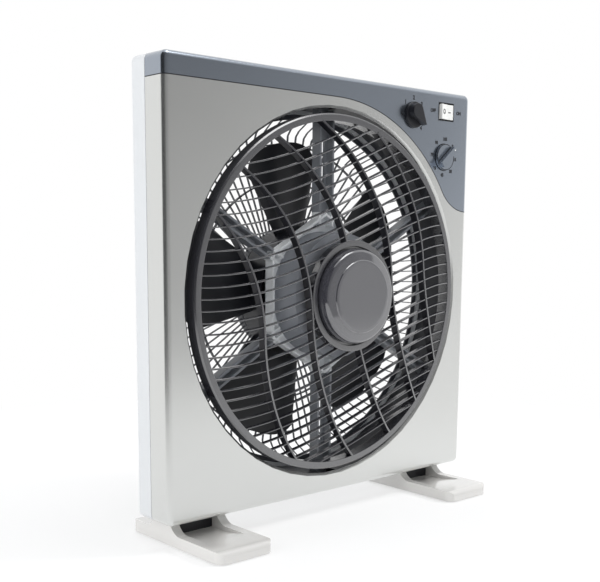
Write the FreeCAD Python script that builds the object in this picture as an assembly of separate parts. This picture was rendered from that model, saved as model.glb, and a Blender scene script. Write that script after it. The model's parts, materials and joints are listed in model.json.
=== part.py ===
import FreeCAD, Part
import math
import os

from FreeCAD import Vector

os.makedirs("parts", exist_ok=True)

# Housing, millimetres. X runs to the right, Y to the back, Z up from the floor.
HOUSING_WIDTH = 370.0
HOUSING_HEIGHT = 378.0
FOOT_RISE = 23.0
WALL = 2.5
CORNER_R = 6.0
CORD_FROM_SIDE = 35.0
CORD_RISE = 39.0
CORD_BUSH_R = 7.0
CORD_LIP = 2.0
CORD_R = 3.4
FACE_EDGE_R = 5.0
FRONT_SHELL_DEPTH = 25.5
REAR_SIDE_DEPTH = 18.5
REAR_TAPER_DEPTH = 2.5
REAR_TAPER_INSET = 2.5
SEAM_STEP = 0.8
AXIS_DROP = 5.0
OPENING_MARGIN = 18.7
LIP_R = 2.2
LIP_FLARE = 1.0

# Top trim with the controls
TRIM_THICK = 1.5
TRIM_MARGIN = 10.1
TRIM_DROP = 116.0
TRIM_FLARE_R = 45.0

# Controls, from the housing's right side and top
SPEED_FROM_SIDE = 84.5
SPEED_FROM_TOP = 26.0
SPEED_SKIRT_R = 12.5
SPEED_SKIRT_THICK = 4.0
SPEED_GRIP_R = 9.5
SPEED_GRIP_NOSE = 14.0
SPEED_GRIP_HEIGHT = 9.0
SPEED_POINTS = -43.0
SPEED_GRIP_SIDES = 12
TIMER_FROM_SIDE = 38.5
TIMER_FROM_TOP = 63.0
TIMER_DISC_R = 12.7
TIMER_DISC_THICK = 2.4
TIMER_BAR_LENGTH = 25.0
TIMER_BAR_WIDTH = 6.0
TIMER_BAR_HEIGHT = 7.5
TIMER_POINTS = 40.0
KNOB_FLOAT = 0.5
SPINDLE_R = 3.0
SPINDLE_HOLE_R = 4.0
ROCKER_FROM_SIDE = 36.4
ROCKER_FROM_TOP = 19.3
ROCKER_WIDTH = 20.0
ROCKER_HEIGHT = 14.4
ROCKER_GAP = 0.9
ROCKER_TILT = 8.0
ROCKER_PIVOT_DEPTH = 4.0
ROCKER_PROUD = 1.6
ROCKER_DIP = 1.2
RUNNING_GAP = 0.05

# Louvre wheel
LOUVRE_GAP = 4.8
RING_FACE_WIDTH = 6.6
RING_FRONT = -4.0
RING_BACK = 8.0
GRILLE_DEPTH = 8.0
GRILLE_RISE = 20.0
HUB_RING_R = 49.75
HUB_BORE_R = 44.4
SLAT_PITCH = 9.65
SLAT_PHASE = 0.0
SLAT_THICK = 1.5
SLAT_SLOPE = 0.394
SLAT_LEVEL_AT = 147.0
RIB_SPACING = 49.3
RIB_PAIRS = 2
RIB_THICK = 1.9
RIB_BEND_R = 177.0
RIB_LEAN = 3.4
CROSSING_STEPS = 12
DOME_STEPS = 2
DOME_SIDES = 8
RING_SIDES = 48
CAP_R = 42.6
CAP_FACE_R = 34.5
CAP_PROUD = 11.5
CAP_SHOULDER = 1.4
LOUVRE_SHAFT_R = 3.5
LOUVRE_PLATE = 3.0

# Flat sides that stand for a round wall
OPENING_SIDES = 48
HUB_SIDES = 24
CAP_SIDES = 36
KNOB_SIDES = 24
SMALL_SIDES = 12

# Front motor bracket
SPIDER_BACK = 23.5
SPIDER_FRONT = 13.0
SPIDER_WALL = 2.5
HEX_APOTHEM = 64.0
CAN_R = 56.0
CAN_FRONT = -8.0
CAN_BACK_HOLE_R = 30.0
ARM_COUNT = 6
ARM_FIRST = 30.0
ARM_WIDE = 18.0
ARM_NARROW = 10.0
ARM_SEAT_MARGIN = 10.7
ARM_SEAT_SIZE = 8.0
ARM_SLOT_LENGTH = 48.0
ARM_NOTCH_GAP = 0.5
ARM_WALL_GAP = 1.0
LOUVRE_MOTOR_R = 25.0
LOUVRE_MOTOR_LENGTH = 16.0
LOUVRE_SHAFT_HOLE_R = 6.0
LOUVRE_SHAFT_GRIP = 6.0

# Blade wheel and motor
BLADE_COUNT = 5
BLADE_TIP_GAP = 27.5
BLADE_FIRST = 27.0
BLADE_REACH = 16.0
BLADE_THICK = 2.0
BLADE_ROOT_SPAN = 46.0
BLADE_TIP_SPAN = 44.0
BLADE_CAMBER = 2.0
BLADE_TIP_CUT = 12.0
BLADE_ROWS = 2
BLADE_COLUMNS = 4
HUB_R = 62.0
HUB_WALL = 2.5
HUB_LENGTH = 29.0
HUB_GAP = 2.0
SHAFT_R = 4.0
NUT_R = 8.0
NUT_LENGTH = 4.0
NUT_SIDES = 6
SEAT_GAP = 0.02
MOTOR_HALF = 39.0
MOTOR_CHAMFER = 12.0
MOTOR_SKIN = 3.0
ROTOR_R = 24.0
AIR_GAP = 0.5
CORE_LENGTH = 18.0
COIL_HALF = 33.0
COIL_HOLE_HALF = 26.0
COIL_REACH = 4.5
BRACKET_REACH = 8.0
BEARING_R = 8.0
BEARING_LENGTH = 6.0
SHAFT_SHORT = 1.0

# Air duct and rear guard
DUCT_GAP = 1.2
DUCT_WALL = 2.0
GUARD_WALL = 2.5
GUARD_LEDGE = 3.5
GUARD_FLANGE = 7.0
GUARD_RIM = 4.5
GUARD_SHOULDER = 10.5
GUARD_SHOULDER_WIDE = 3.0
GUARD_FINS = 30
GUARD_FIN_THICK = 1.8
GUARD_FIN_DEPTH = 4.0
GUARD_FIN_SINK = 1.0
GUARD_BLADE_GAP = 2.0
GUARD_HOOP_THICK = 2.4
GUARD_HOOP_DEPTH = 2.0
GUARD_INNER_HOOP = 46.0
GUARD_OUTER_HOOP = 10.0
CUP_R = 58.0
CUP_STAND = 17.5
CUP_DEPTH = 11.5
CUP_EDGE = 4.0

# Electrics behind the panel
SWITCH_HALF = 12.0
SWITCH_DEPTH = 18.0
TIMER_HALF = 16.0
TIMER_DEPTH = 26.0
SPINDLE_REACH = 12.0
ROCKER_BODY_DEPTH = 20.0
ROCKER_BODY_WALL = 1.5
ROCKER_CAVITY = 8.0
CAPACITOR_SIZE = (36.0, 14.0, 22.0)
CAPACITOR_FROM_SIDE = 35.0
CAPACITOR_FROM_TOP = 28.0

# Feet
FOOT_LENGTH = 130.0
FOOT_OVERHANG = 50.0
FOOT_WIDTH = 57.0
FOOT_INSET = 14.0
FOOT_TOE_HEIGHT = 11.0
FOOT_HEEL_HEIGHT = 12.0
FOOT_CORNER_R = 9.0
FOOT_NECK_FRONT = 20.0
FOOT_NECK_BACK = 43.0
FOOT_SADDLE_FRONT = 16.0
FOOT_SADDLE_BACK = 14.0
FOOT_TIP = 5.0
FOOT_DRAFT = 1.0
FOOT_POCKET_WIDTH = 40.0
FOOT_POCKET_LENGTH = 24.0
FOOT_POCKET_DEPTH = 4.0
FOOT_POCKET_UNDER = 6.0
PAD_STAND = 1.0
PAD_SINK = 1.0
PAD_WIDTH = 40.0
PAD_LENGTH = 12.0
PAD_MARGIN = 8.0

# Places that follow from the sizes
FRONT_Y = FOOT_OVERHANG - FOOT_LENGTH / 2
REAR_REACH = FOOT_LENGTH - FOOT_OVERHANG
TOP_Z = FOOT_RISE + HOUSING_HEIGHT
HALF_WIDTH = HOUSING_WIDTH / 2
AXIS_RISE = HOUSING_HEIGHT / 2 - AXIS_DROP
AXIS_Z = FOOT_RISE + AXIS_RISE
OPENING_R = min(HALF_WIDTH, AXIS_RISE, HOUSING_HEIGHT - AXIS_RISE) - OPENING_MARGIN
BACK_WALL = FRONT_SHELL_DEPTH + REAR_SIDE_DEPTH + REAR_TAPER_DEPTH
TRIM_ARC_R = OPENING_R + TRIM_MARGIN
TRIM_TAIL_RISE = TOP_Z - TRIM_DROP - AXIS_Z
SPEED_X = HALF_WIDTH - SPEED_FROM_SIDE
SPEED_Z = TOP_Z - SPEED_FROM_TOP
TIMER_X = HALF_WIDTH - TIMER_FROM_SIDE
TIMER_Z = TOP_Z - TIMER_FROM_TOP
ROCKER_X = HALF_WIDTH - ROCKER_FROM_SIDE
ROCKER_Z = TOP_Z - ROCKER_FROM_TOP
CORD_X = HALF_WIDTH - CORD_FROM_SIDE
CORD_Z = FOOT_RISE + CORD_RISE
ARM_SEAT_R = OPENING_R + ARM_SEAT_MARGIN
RING_OUT_R = OPENING_R - LOUVRE_GAP
RING_IN_R = RING_OUT_R - RING_FACE_WIDTH
GRILLE_FRONT = RING_FRONT - GRILLE_RISE
SLAT_PAIRS = int(RING_IN_R / SLAT_PITCH)
MOTOR_FRONT = SPIDER_BACK
CORE_FRONT = MOTOR_FRONT + BRACKET_REACH
CORE_BACK = CORE_FRONT + CORE_LENGTH
MOTOR_BACK = CORE_BACK + BRACKET_REACH
HUB_BACK = MOTOR_BACK + HUB_GAP + HUB_WALL
BLADE_BACK = HUB_BACK
BLADE_FRONT = BLADE_BACK - BLADE_REACH
DUCT_R = OPENING_R + DUCT_GAP
BLADE_TIP_R = DUCT_R - BLADE_TIP_GAP
GUARD_OPENING_R = DUCT_R - GUARD_LEDGE
GUARD_FLANGE_R = GUARD_OPENING_R + GUARD_FLANGE
GUARD_RIM_R = GUARD_OPENING_R - GUARD_RIM
GUARD_SHOULDER_R = GUARD_RIM_R - GUARD_SHOULDER
SHOULDER_BACK = BLADE_BACK + GUARD_BLADE_GAP + GUARD_FIN_DEPTH
CUP_BACK = HUB_BACK + CUP_STAND
PLATE_FRONT = GRILLE_FRONT + GRILLE_DEPTH - LOUVRE_PLATE
BACK = Vector(0, 1, 0)


def outline(place, items):
    """Closed wire. An item is a point, or a pair: a point the arc passes and its end."""
    edges = []
    start = place(*items[0])
    here = start
    for item in items[1:]:
        if isinstance(item[0], tuple):
            middle = place(*item[0])
            there = place(*item[1])
            edges.append(Part.Arc(here, middle, there).toShape())
        else:
            there = place(*item)
            edges.append(Part.makeLine(here, there))
        here = there
    if here.distanceToPoint(start) > 1e-6:
        edges.append(Part.makeLine(here, start))
    return Part.Wire(edges)


def slab(items, d0, d1):
    """Outline in the front view, from depth d0 to d1."""
    wire = outline(lambda x, z: Vector(x, FRONT_Y + d0, z), items)
    return Part.Face(wire).extrude(Vector(0, d1 - d0, 0))


def round_rect(x0, x1, z0, z1, r):
    k = r * (1 - math.sqrt(0.5))
    return [
        (x0 + r, z0),
        (x1 - r, z0),
        ((x1 - k, z0 + k), (x1, z0 + r)),
        (x1, z1 - r),
        ((x1 - k, z1 - k), (x1 - r, z1)),
        (x0 + r, z1),
        ((x0 + k, z1 - k), (x0, z1 - r)),
        (x0, z0 + r),
        ((x0 + k, z0 + k), (x0 + r, z0)),
    ]


def housing_rect(inset, r):
    return round_rect(-HALF_WIDTH + inset, HALF_WIDTH - inset, FOOT_RISE + inset, TOP_Z - inset, r)


def rod(r, d0, d1, x=0.0, z=AXIS_Z):
    return Part.makeCylinder(r, d1 - d0, Vector(x, FRONT_Y + d0, z), BACK)


def facet_corner(r, d, k, sides):
    """Corner k of a polygon about the fan's axis that is r across its flats."""
    a = math.pi * (2 * k + 1) / sides
    reach = r / math.cos(math.pi / sides)
    return Vector(reach * math.cos(a), FRONT_Y + d, AXIS_Z + reach * math.sin(a))


def faceted(items, sides):
    """Turned form about the fan's axis, from points (radius, depth), with flat sides for round walls."""
    faces = []
    for (r0, d0), (r1, d1) in zip(items, items[1:] + items[:1]):
        if d0 == d1 and min(r0, r1) == 0:
            loop = [facet_corner(max(r0, r1), d0, k, sides) for k in range(sides)]
            faces.append(Part.Face(Part.makePolygon(loop + loop[:1])))
        elif max(r0, r1) > 0:
            for k in range(sides):
                loop = [
                    facet_corner(r0, d0, k, sides),
                    facet_corner(r1, d1, k, sides),
                    facet_corner(r1, d1, k + 1, sides),
                    facet_corner(r0, d0, k + 1, sides),
                ]
                faces.append(Part.Face(Part.makePolygon(loop + loop[:1])))
    solid = Part.makeSolid(Part.makeShell(faces))
    if solid.Volume < 0:
        solid.reverse()
    return solid.removeSplitter()


def ring_of(r0, r1, d0, d1, sides):
    return faceted([(r0, d0), (r1, d0), (r1, d1), (r0, d1)], sides)


def post(r, d0, d1, sides, x=0.0, z=AXIS_Z):
    """Flat-sided rod along Y."""
    corners = []
    for k in range(sides):
        a = 2 * math.pi * k / sides
        corners.append((x + r * math.cos(a), z + r * math.sin(a)))
    return slab(corners, d0, d1)


def box(x0, x1, d0, d1, z0, z1):
    return Part.makeBox(x1 - x0, d1 - d0, z1 - z0, Vector(x0, FRONT_Y + d0, z0))


def turned(shape, degrees):
    """Turn about the fan's axis, anticlockwise in the front view."""
    return shape.rotated(Vector(0, 0, AXIS_Z), BACK, -degrees)


def spun(shape, degrees, x, z):
    """Turn about an axis along Y at x, z, anticlockwise in the front view."""
    return shape.rotated(Vector(x, 0, z), BACK, -degrees)


def polar(r, degrees):
    a = math.radians(degrees)
    return r * math.cos(a), AXIS_Z + r * math.sin(a)


def fuse(shapes):
    whole = shapes[0].multiFuse(shapes[1:])
    return whole.removeSplitter()


def save(name, shape):
    solids = shape.Solids
    if len(solids) == 1:
        shape = solids[0]
    else:
        shape = Part.makeCompound(solids)
    if not shape.isValid():
        shape.fix(1e-6, 1e-6, 1e-6)
    shape.exportStep("parts/" + name + ".step")
    print(name, len(solids), "solids", round(shape.Volume / 1000, 2), "cm3", shape.isValid())


def front_edges(shape, y):
    return [e for e in shape.Edges if all(abs(v.Y - y) < 1e-6 for v in e.Vertexes)]


ARM_ANGLES = [ARM_FIRST + 360 / ARM_COUNT * k for k in range(ARM_COUNT)]


def arm_width(angle):
    """The upright arms are the wide ones."""
    return ARM_WIDE if angle % 180 == 90 else ARM_NARROW


def shell_block():
    block = slab(housing_rect(0, CORNER_R), 0, FRONT_SHELL_DEPTH)
    return block.makeFillet(FACE_EDGE_R, front_edges(block, FRONT_Y))


def trim_seat():
    """What the trim lies on: the housing block, one trim thickness smaller."""
    t = TRIM_THICK
    block = slab(housing_rect(t, CORNER_R - t), t, FRONT_SHELL_DEPTH + 1)
    return block.makeChamfer(FACE_EDGE_R - t, front_edges(block, FRONT_Y + t))


def trim_region():
    level = AXIS_Z + TRIM_ARC_R
    flare_rise = TRIM_TAIL_RISE + TRIM_FLARE_R
    reach = TRIM_ARC_R + TRIM_FLARE_R
    flare_x = math.sqrt(reach ** 2 - flare_rise ** 2)
    tangent = math.degrees(math.atan2(flare_rise, flare_x))
    arc_end = polar(TRIM_ARC_R, tangent)
    arc_mid = polar(TRIM_ARC_R, (90 + tangent) / 2)
    half = math.radians((180 + tangent + 270) / 2)
    flare_z = AXIS_Z + flare_rise
    flare_mid = (flare_x + TRIM_FLARE_R * math.cos(half), flare_z + TRIM_FLARE_R * math.sin(half))
    tail = AXIS_Z + TRIM_TAIL_RISE
    wide = HOUSING_WIDTH
    return slab(
        [
            (-wide, level),
            (0, level),
            (arc_mid, arc_end),
            (flare_mid, (flare_x, tail)),
            (wide, tail),
            (wide, TOP_Z + WALL),
            (-wide, TOP_Z + WALL),
        ],
        -WALL,
        FRONT_SHELL_DEPTH,
    )


def control_holes():
    half_w = ROCKER_WIDTH / 2 + ROCKER_GAP
    half_h = ROCKER_HEIGHT / 2 + ROCKER_GAP
    left = ROCKER_X - half_w
    low = ROCKER_Z - half_h
    rocker = box(left, left + 2 * half_w, -1, 2 * WALL, low, low + 2 * half_h)
    speed = post(SPINDLE_HOLE_R, -1, 2 * WALL, SMALL_SIDES, SPEED_X, SPEED_Z)
    timer = post(SPINDLE_HOLE_R, -1, 2 * WALL, SMALL_SIDES, TIMER_X, TIMER_Z)
    return [rocker, speed, timer]


def make_front():
    block = shell_block()
    cavity = slab(housing_rect(WALL, CORNER_R - WALL), WALL, FRONT_SHELL_DEPTH + 1)
    pieces = [block.cut(cavity)]
    half = ARM_SEAT_SIZE / 2
    near = ARM_SEAT_R - half
    floor = SPIDER_BACK - SPIDER_WALL
    for angle in ARM_ANGLES:
        seat = box(near, near + ARM_SEAT_SIZE, WALL / 2, floor, AXIS_Z - half, AXIS_Z + half)
        pieces.append(turned(seat, angle))
    whole = fuse(pieces)
    opening = faceted(
        [
            (0, -LIP_FLARE),
            (OPENING_R + LIP_R + LIP_FLARE, -LIP_FLARE),
            (OPENING_R, LIP_R),
            (OPENING_R, 2 * WALL),
            (0, 2 * WALL),
        ],
        OPENING_SIDES,
    )
    layer = block.cut(trim_seat()).common(trim_region())
    whole = whole.cut(opening).cut(layer)
    for tool in control_holes():
        whole = whole.cut(tool)
        layer = layer.cut(tool)
    return whole, layer


def make_rear():
    seam = FRONT_SHELL_DEPTH
    edge = seam + REAR_SIDE_DEPTH

    def tub(inset, d0, d1, d2):
        """Straight sides from d0 to d1, then drawn in to d2."""
        r = CORNER_R - inset
        wires = []
        for d, extra in ((d1, 0), (d2, REAR_TAPER_INSET)):
            wires.append(outline(lambda x, z: Vector(x, FRONT_Y + d, z), housing_rect(inset + extra, r)))
        return slab(housing_rect(inset, r), d0, d1).fuse(Part.makeLoft(wires, True, True))

    whole = tub(0, seam, edge, BACK_WALL).cut(tub(WALL, seam - 1, edge - WALL / 2, BACK_WALL - WALL))
    groove = slab(housing_rect(-1, CORNER_R + 1), seam, seam + SEAM_STEP)
    groove = groove.cut(slab(housing_rect(SEAM_STEP, CORNER_R - SEAM_STEP), seam - 1, edge))
    whole = whole.cut(groove).cut(ring_of(0, GUARD_OPENING_R, edge - 1, BACK_WALL + 1, OPENING_SIDES))
    return whole.cut(post(CORD_BUSH_R, edge - 1, BACK_WALL + 1, SMALL_SIDES, CORD_X, CORD_Z))


def slat_rise(x):
    return SLAT_SLOPE * (x - x ** 3 / (3 * SLAT_LEVEL_AT ** 2))


def strip(points, shift):
    """Flat strip in the front view, between a line of points and its shifted copy."""
    y = FRONT_Y + GRILLE_FRONT - 1
    near = [Vector(x, y, z) for x, z in points]
    far = [Vector(x + shift[0], y, z + shift[1]) for x, z in reversed(points)]
    return Part.Face(Part.makePolygon(near + far + near[:1]))


def rib_x(start, z):
    """Rib that bends to opposite sides above and below the slat through the axis."""
    t = z - slat_rise(start)
    reach = min(abs(t), RIB_BEND_R)
    bend = RIB_BEND_R - math.sqrt(RIB_BEND_R ** 2 - reach ** 2)
    aside = reach * math.tan(math.radians(RIB_LEAN)) + bend
    return start - math.copysign(aside, t)


def crossing(level, start):
    """Where the slat at this level meets the rib that starts here."""
    x = start
    for _ in range(CROSSING_STEPS):
        x = rib_x(start, level + slat_rise(x))
    return x, AXIS_Z + level + slat_rise(x)


def grille_strips():
    """Slats and ribs, straight from crossing to crossing."""
    levels = [SLAT_PHASE + k * SLAT_PITCH for k in range(-SLAT_PAIRS, SLAT_PAIRS + 1)]
    starts = [k * RIB_SPACING for k in range(-RIB_PAIRS, RIB_PAIRS + 1)]
    strips = []
    for level in levels:
        ends = [(x, AXIS_Z + level + slat_rise(x)) for x in (-RING_OUT_R, RING_OUT_R)]
        points = sorted(ends + [crossing(level, start) for start in starts])
        points = [(x, z - SLAT_THICK / 2) for x, z in points if abs(x) <= RING_OUT_R]
        strips.append(strip(points, (0, SLAT_THICK)))
    for start in starts:
        points = []
        for level in levels:
            x, z = crossing(level, start)
            if math.hypot(x, z - AXIS_Z) < RING_OUT_R:
                points.append((x - RIB_THICK / 2, z))
        low = points[0][1] - SLAT_PITCH
        high = points[-1][1] + SLAT_PITCH
        low_end = (rib_x(start, low - AXIS_Z) - RIB_THICK / 2, low)
        high_end = (rib_x(start, high - AXIS_Z) - RIB_THICK / 2, high)
        points = [low_end] + points + [high_end]
        strips.append(strip(points[::-1], (RIB_THICK, 0)))
    return strips


def dome_points(shift):
    """Corners of the grille's dome section, from the hub ring out to the rim."""
    span = RING_IN_R - HUB_RING_R
    dome_r = (span ** 2 + GRILLE_RISE ** 2) / (2 * GRILLE_RISE)
    points = []
    for k in range(DOME_STEPS + 1):
        run = span * k / DOME_STEPS
        drop = dome_r - math.sqrt(dome_r ** 2 - run ** 2)
        points.append((HUB_RING_R + run, GRILLE_FRONT + shift + drop))
    points[0] = (HUB_RING_R - 1, points[0][1])
    points[-1] = (RING_IN_R + 1, points[-1][1])
    return points


def dome_solid(shift):
    """Faceted dome, filled to its rim plane."""
    points = dome_points(shift)
    return faceted([(0, points[0][1])] + points + [(0, points[-1][1])], DOME_SIDES)


def make_louvre():
    faces = grille_strips()
    pattern = Part.makeShell(faces[0].multiFuse(faces[1:]).Faces).removeSplitter()
    prism = pattern.Faces[0].extrude(Vector(0, GRILLE_RISE + GRILLE_DEPTH + 2, 0))
    grille = prism.common(dome_solid(0)).cut(dome_solid(GRILLE_DEPTH))
    grille = grille.cut(ring_of(0, HUB_RING_R - 1, GRILLE_FRONT - 1, RING_BACK, HUB_SIDES))
    ring = ring_of(RING_IN_R, RING_OUT_R, RING_FRONT, RING_BACK, RING_SIDES)
    hub = faceted(
        [
            (HUB_BORE_R, GRILLE_FRONT),
            (HUB_RING_R, GRILLE_FRONT),
            (HUB_RING_R, GRILLE_FRONT + GRILLE_DEPTH),
            (LOUVRE_SHAFT_R, GRILLE_FRONT + GRILLE_DEPTH),
            (LOUVRE_SHAFT_R, PLATE_FRONT),
            (HUB_BORE_R, PLATE_FRONT),
        ],
        HUB_SIDES,
    )
    return grille.fuse(ring).fuse(hub).removeSplitter()


def make_cap():
    face = GRILLE_FRONT - CAP_PROUD
    shoulder = (CAP_R + CAP_FACE_R) / 2
    rise = CAP_PROUD / 2
    return faceted(
        [
            (0, PLATE_FRONT),
            (CAP_R, PLATE_FRONT),
            (CAP_R, face + rise),
            (shoulder + CAP_SHOULDER, face + CAP_SHOULDER),
            (CAP_FACE_R, face),
            (0, face),
        ],
        CAP_SIDES,
    )


def make_louvre_motor():
    seat = CAN_FRONT + SPIDER_WALL
    body = ring_of(0, LOUVRE_MOTOR_R, seat, seat + LOUVRE_MOTOR_LENGTH, SMALL_SIDES)
    return body.cut(rod(LOUVRE_SHAFT_R + RUNNING_GAP, seat - 1, seat + LOUVRE_SHAFT_GRIP))


def make_louvre_shaft():
    seat = CAN_FRONT + SPIDER_WALL
    return rod(LOUVRE_SHAFT_R - SEAT_GAP, PLATE_FRONT, seat + LOUVRE_SHAFT_GRIP - RUNNING_GAP)


def hexagon(apothem, d0, d1):
    reach = apothem / math.cos(math.pi / ARM_COUNT)
    return slab([polar(reach, angle) for angle in ARM_ANGLES], d0, d1)


def make_spider():
    floor = SPIDER_BACK - SPIDER_WALL
    rim = hexagon(HEX_APOTHEM, SPIDER_FRONT, SPIDER_BACK)
    rim = rim.cut(hexagon(HEX_APOTHEM - SPIDER_WALL, SPIDER_FRONT - 1, floor))
    pieces = [rim, ring_of(0, CAN_R, CAN_FRONT, SPIDER_BACK, HUB_SIDES)]
    end = ARM_SEAT_R + ARM_SEAT_SIZE / 2
    wall_end = DUCT_R - ARM_WALL_GAP
    root = HEX_APOTHEM - SPIDER_WALL
    for angle in ARM_ANGLES:
        half = arm_width(angle) / 2
        web = box(root, end, floor, SPIDER_BACK, AXIS_Z - half, AXIS_Z + half)
        if arm_width(angle) == ARM_WIDE:
            near = (HEX_APOTHEM + wall_end - ARM_SLOT_LENGTH) / 2
            tall = half - 2 * SPIDER_WALL
            far = near + ARM_SLOT_LENGTH
            web = web.cut(box(near, far, floor - 1, SPIDER_BACK + 1, AXIS_Z - tall, AXIS_Z + tall))
        pieces.append(turned(web, angle))
        for z0 in (AXIS_Z - half, AXIS_Z + half - SPIDER_WALL):
            wall = box(root, wall_end, SPIDER_FRONT, SPIDER_BACK, z0, z0 + SPIDER_WALL)
            pieces.append(turned(wall, angle))
    whole = fuse(pieces)
    hollow = faceted(
        [
            (0, CAN_FRONT + SPIDER_WALL),
            (CAN_R - SPIDER_WALL, CAN_FRONT + SPIDER_WALL),
            (CAN_R - SPIDER_WALL, floor),
            (CAN_BACK_HOLE_R, floor),
            (CAN_BACK_HOLE_R, SPIDER_BACK + 1),
            (0, SPIDER_BACK + 1),
        ],
        HUB_SIDES,
    )
    return whole.cut(hollow).cut(ring_of(0, LOUVRE_SHAFT_HOLE_R, CAN_FRONT - 1, 0, SMALL_SIDES))


def make_duct():
    tube = ring_of(DUCT_R, DUCT_R + DUCT_WALL, WALL, BACK_WALL - WALL, OPENING_SIDES)
    for angle in ARM_ANGLES:
        half = arm_width(angle) / 2 + ARM_NOTCH_GAP
        notch = box(DUCT_R - 2, ARM_SEAT_R, 0, SPIDER_BACK + ARM_NOTCH_GAP, AXIS_Z - half, AXIS_Z + half)
        tube = tube.cut(turned(notch, angle))
    return tube


def blade_point(row, column, side):
    """Point on a blade's front (side 0) or back (side 1). Rows run outwards, columns from edge to edge."""
    out = row / BLADE_ROWS
    across = 2 * column / BLADE_COLUMNS - 1
    root = HUB_R - HUB_WALL / 2
    r = root + (BLADE_TIP_R - root) * out
    span = BLADE_ROOT_SPAN + (BLADE_TIP_SPAN - BLADE_ROOT_SPAN) * out
    round_off = BLADE_TIP_CUT * across ** 4 * out
    a = math.radians(across * span / 2)
    travel = (BLADE_BACK - BLADE_FRONT - BLADE_THICK) / 2
    middle = (BLADE_FRONT + BLADE_BACK - BLADE_THICK) / 2
    depth = middle - across * travel - BLADE_CAMBER * (1 - across ** 2) + side * BLADE_THICK
    reach = r - round_off
    return Vector(reach * math.cos(a), FRONT_Y + depth, AXIS_Z + reach * math.sin(a))


def blade_blank():
    """Twisted, arched blade of flat facets."""
    faces = []

    def patch(p, q, r, s):
        for loop in ((p, q, r), (p, r, s)):
            faces.append(Part.Face(Part.makePolygon(list(loop) + [loop[0]])))

    for row in range(BLADE_ROWS):
        for column in range(BLADE_COLUMNS):
            cell = ((row, column), (row + 1, column), (row + 1, column + 1), (row, column + 1))
            for side in (0, 1):
                patch(*[blade_point(i, j, side) for i, j in cell])
    border = [(0, j) for j in range(BLADE_COLUMNS)]
    border += [(i, BLADE_COLUMNS) for i in range(BLADE_ROWS)]
    border += [(BLADE_ROWS, j) for j in range(BLADE_COLUMNS, 0, -1)]
    border += [(i, 0) for i in range(BLADE_ROWS, 0, -1)]
    for (i, j), (m, n) in zip(border, border[1:] + border[:1]):
        patch(blade_point(i, j, 0), blade_point(m, n, 0), blade_point(m, n, 1), blade_point(i, j, 1))
    solid = Part.makeSolid(Part.makeShell(faces))
    if solid.Volume < 0:
        solid.reverse()
    return solid


def make_blades():
    hub = faceted(
        [
            (SHAFT_R + SEAT_GAP, HUB_BACK),
            (HUB_R, HUB_BACK),
            (HUB_R, HUB_BACK - HUB_LENGTH),
            (HUB_R - HUB_WALL, HUB_BACK - HUB_LENGTH),
            (HUB_R - HUB_WALL, HUB_BACK - HUB_WALL),
            (SHAFT_R + SEAT_GAP, HUB_BACK - HUB_WALL),
        ],
        HUB_SIDES,
    )
    pieces = [hub]
    for k in range(BLADE_COUNT):
        pieces.append(turned(blade_blank(), BLADE_FIRST + 360 / BLADE_COUNT * k))
    return fuse(pieces)


def octagon(half, cut, d0, d1):
    flat = half - cut
    return slab(
        [
            (-half, AXIS_Z - flat),
            (-flat, AXIS_Z - half),
            (flat, AXIS_Z - half),
            (half, AXIS_Z - flat),
            (half, AXIS_Z + flat),
            (flat, AXIS_Z + half),
            (-flat, AXIS_Z + half),
            (-half, AXIS_Z + flat),
        ],
        d0,
        d1,
    )


def make_motor():
    core = octagon(MOTOR_HALF, MOTOR_CHAMFER, CORE_FRONT, CORE_BACK)
    core = core.cut(ring_of(0, ROTOR_R + AIR_GAP, CORE_FRONT - 1, CORE_BACK + 1, SMALL_SIDES))
    save("stator_core", core)
    coils = []
    for d0, d1 in ((CORE_FRONT - COIL_REACH, CORE_FRONT), (CORE_BACK, CORE_BACK + COIL_REACH)):
        ring = octagon(COIL_HALF, MOTOR_CHAMFER, d0, d1)
        coils.append(ring.cut(octagon(COIL_HOLE_HALF, MOTOR_CHAMFER, d0 - 1, d1 + 1)))
    save("stator_windings", Part.makeCompound(coils))
    inner = MOTOR_HALF - MOTOR_SKIN
    front = octagon(MOTOR_HALF, MOTOR_CHAMFER, MOTOR_FRONT, CORE_FRONT)
    front = front.cut(octagon(inner, MOTOR_CHAMFER, MOTOR_FRONT + MOTOR_SKIN, CORE_FRONT + 1))
    front = front.cut(ring_of(0, BEARING_R, MOTOR_FRONT - 1, CORE_FRONT, SMALL_SIDES))
    save("motor_front_bracket", front)
    back = octagon(MOTOR_HALF, MOTOR_CHAMFER, CORE_BACK, MOTOR_BACK)
    back = back.cut(octagon(inner, MOTOR_CHAMFER, CORE_BACK - 1, MOTOR_BACK - MOTOR_SKIN))
    back = back.cut(ring_of(0, BEARING_R, CORE_BACK, MOTOR_BACK + 1, SMALL_SIDES))
    save("motor_rear_bracket", back)
    bushes = []
    for d0 in (MOTOR_FRONT, MOTOR_BACK - BEARING_LENGTH):
        d1 = d0 + BEARING_LENGTH
        bushes.append(ring_of(SHAFT_R + RUNNING_GAP, BEARING_R - SEAT_GAP, d0, d1, SMALL_SIDES))
    save("motor_bearings", Part.makeCompound(bushes))
    save("motor_rotor", ring_of(SHAFT_R + SEAT_GAP, ROTOR_R, CORE_FRONT, CORE_BACK, SMALL_SIDES))
    save("motor_shaft", rod(SHAFT_R, MOTOR_FRONT + SHAFT_SHORT, HUB_BACK + NUT_LENGTH))
    nut = post(NUT_R, HUB_BACK, HUB_BACK + NUT_LENGTH, NUT_SIDES)
    save("blade_nut", nut.cut(ring_of(0, SHAFT_R + SEAT_GAP, HUB_BACK - 1, CUP_BACK, SMALL_SIDES)))


def guard_line(r):
    """Depth of the guard's back along a fin, from the cup to the shoulder."""
    along = (r - CUP_R) / (GUARD_SHOULDER_R - CUP_R)
    return CUP_BACK - CUP_EDGE + (SHOULDER_BACK - CUP_BACK + CUP_EDGE) * along


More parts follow.
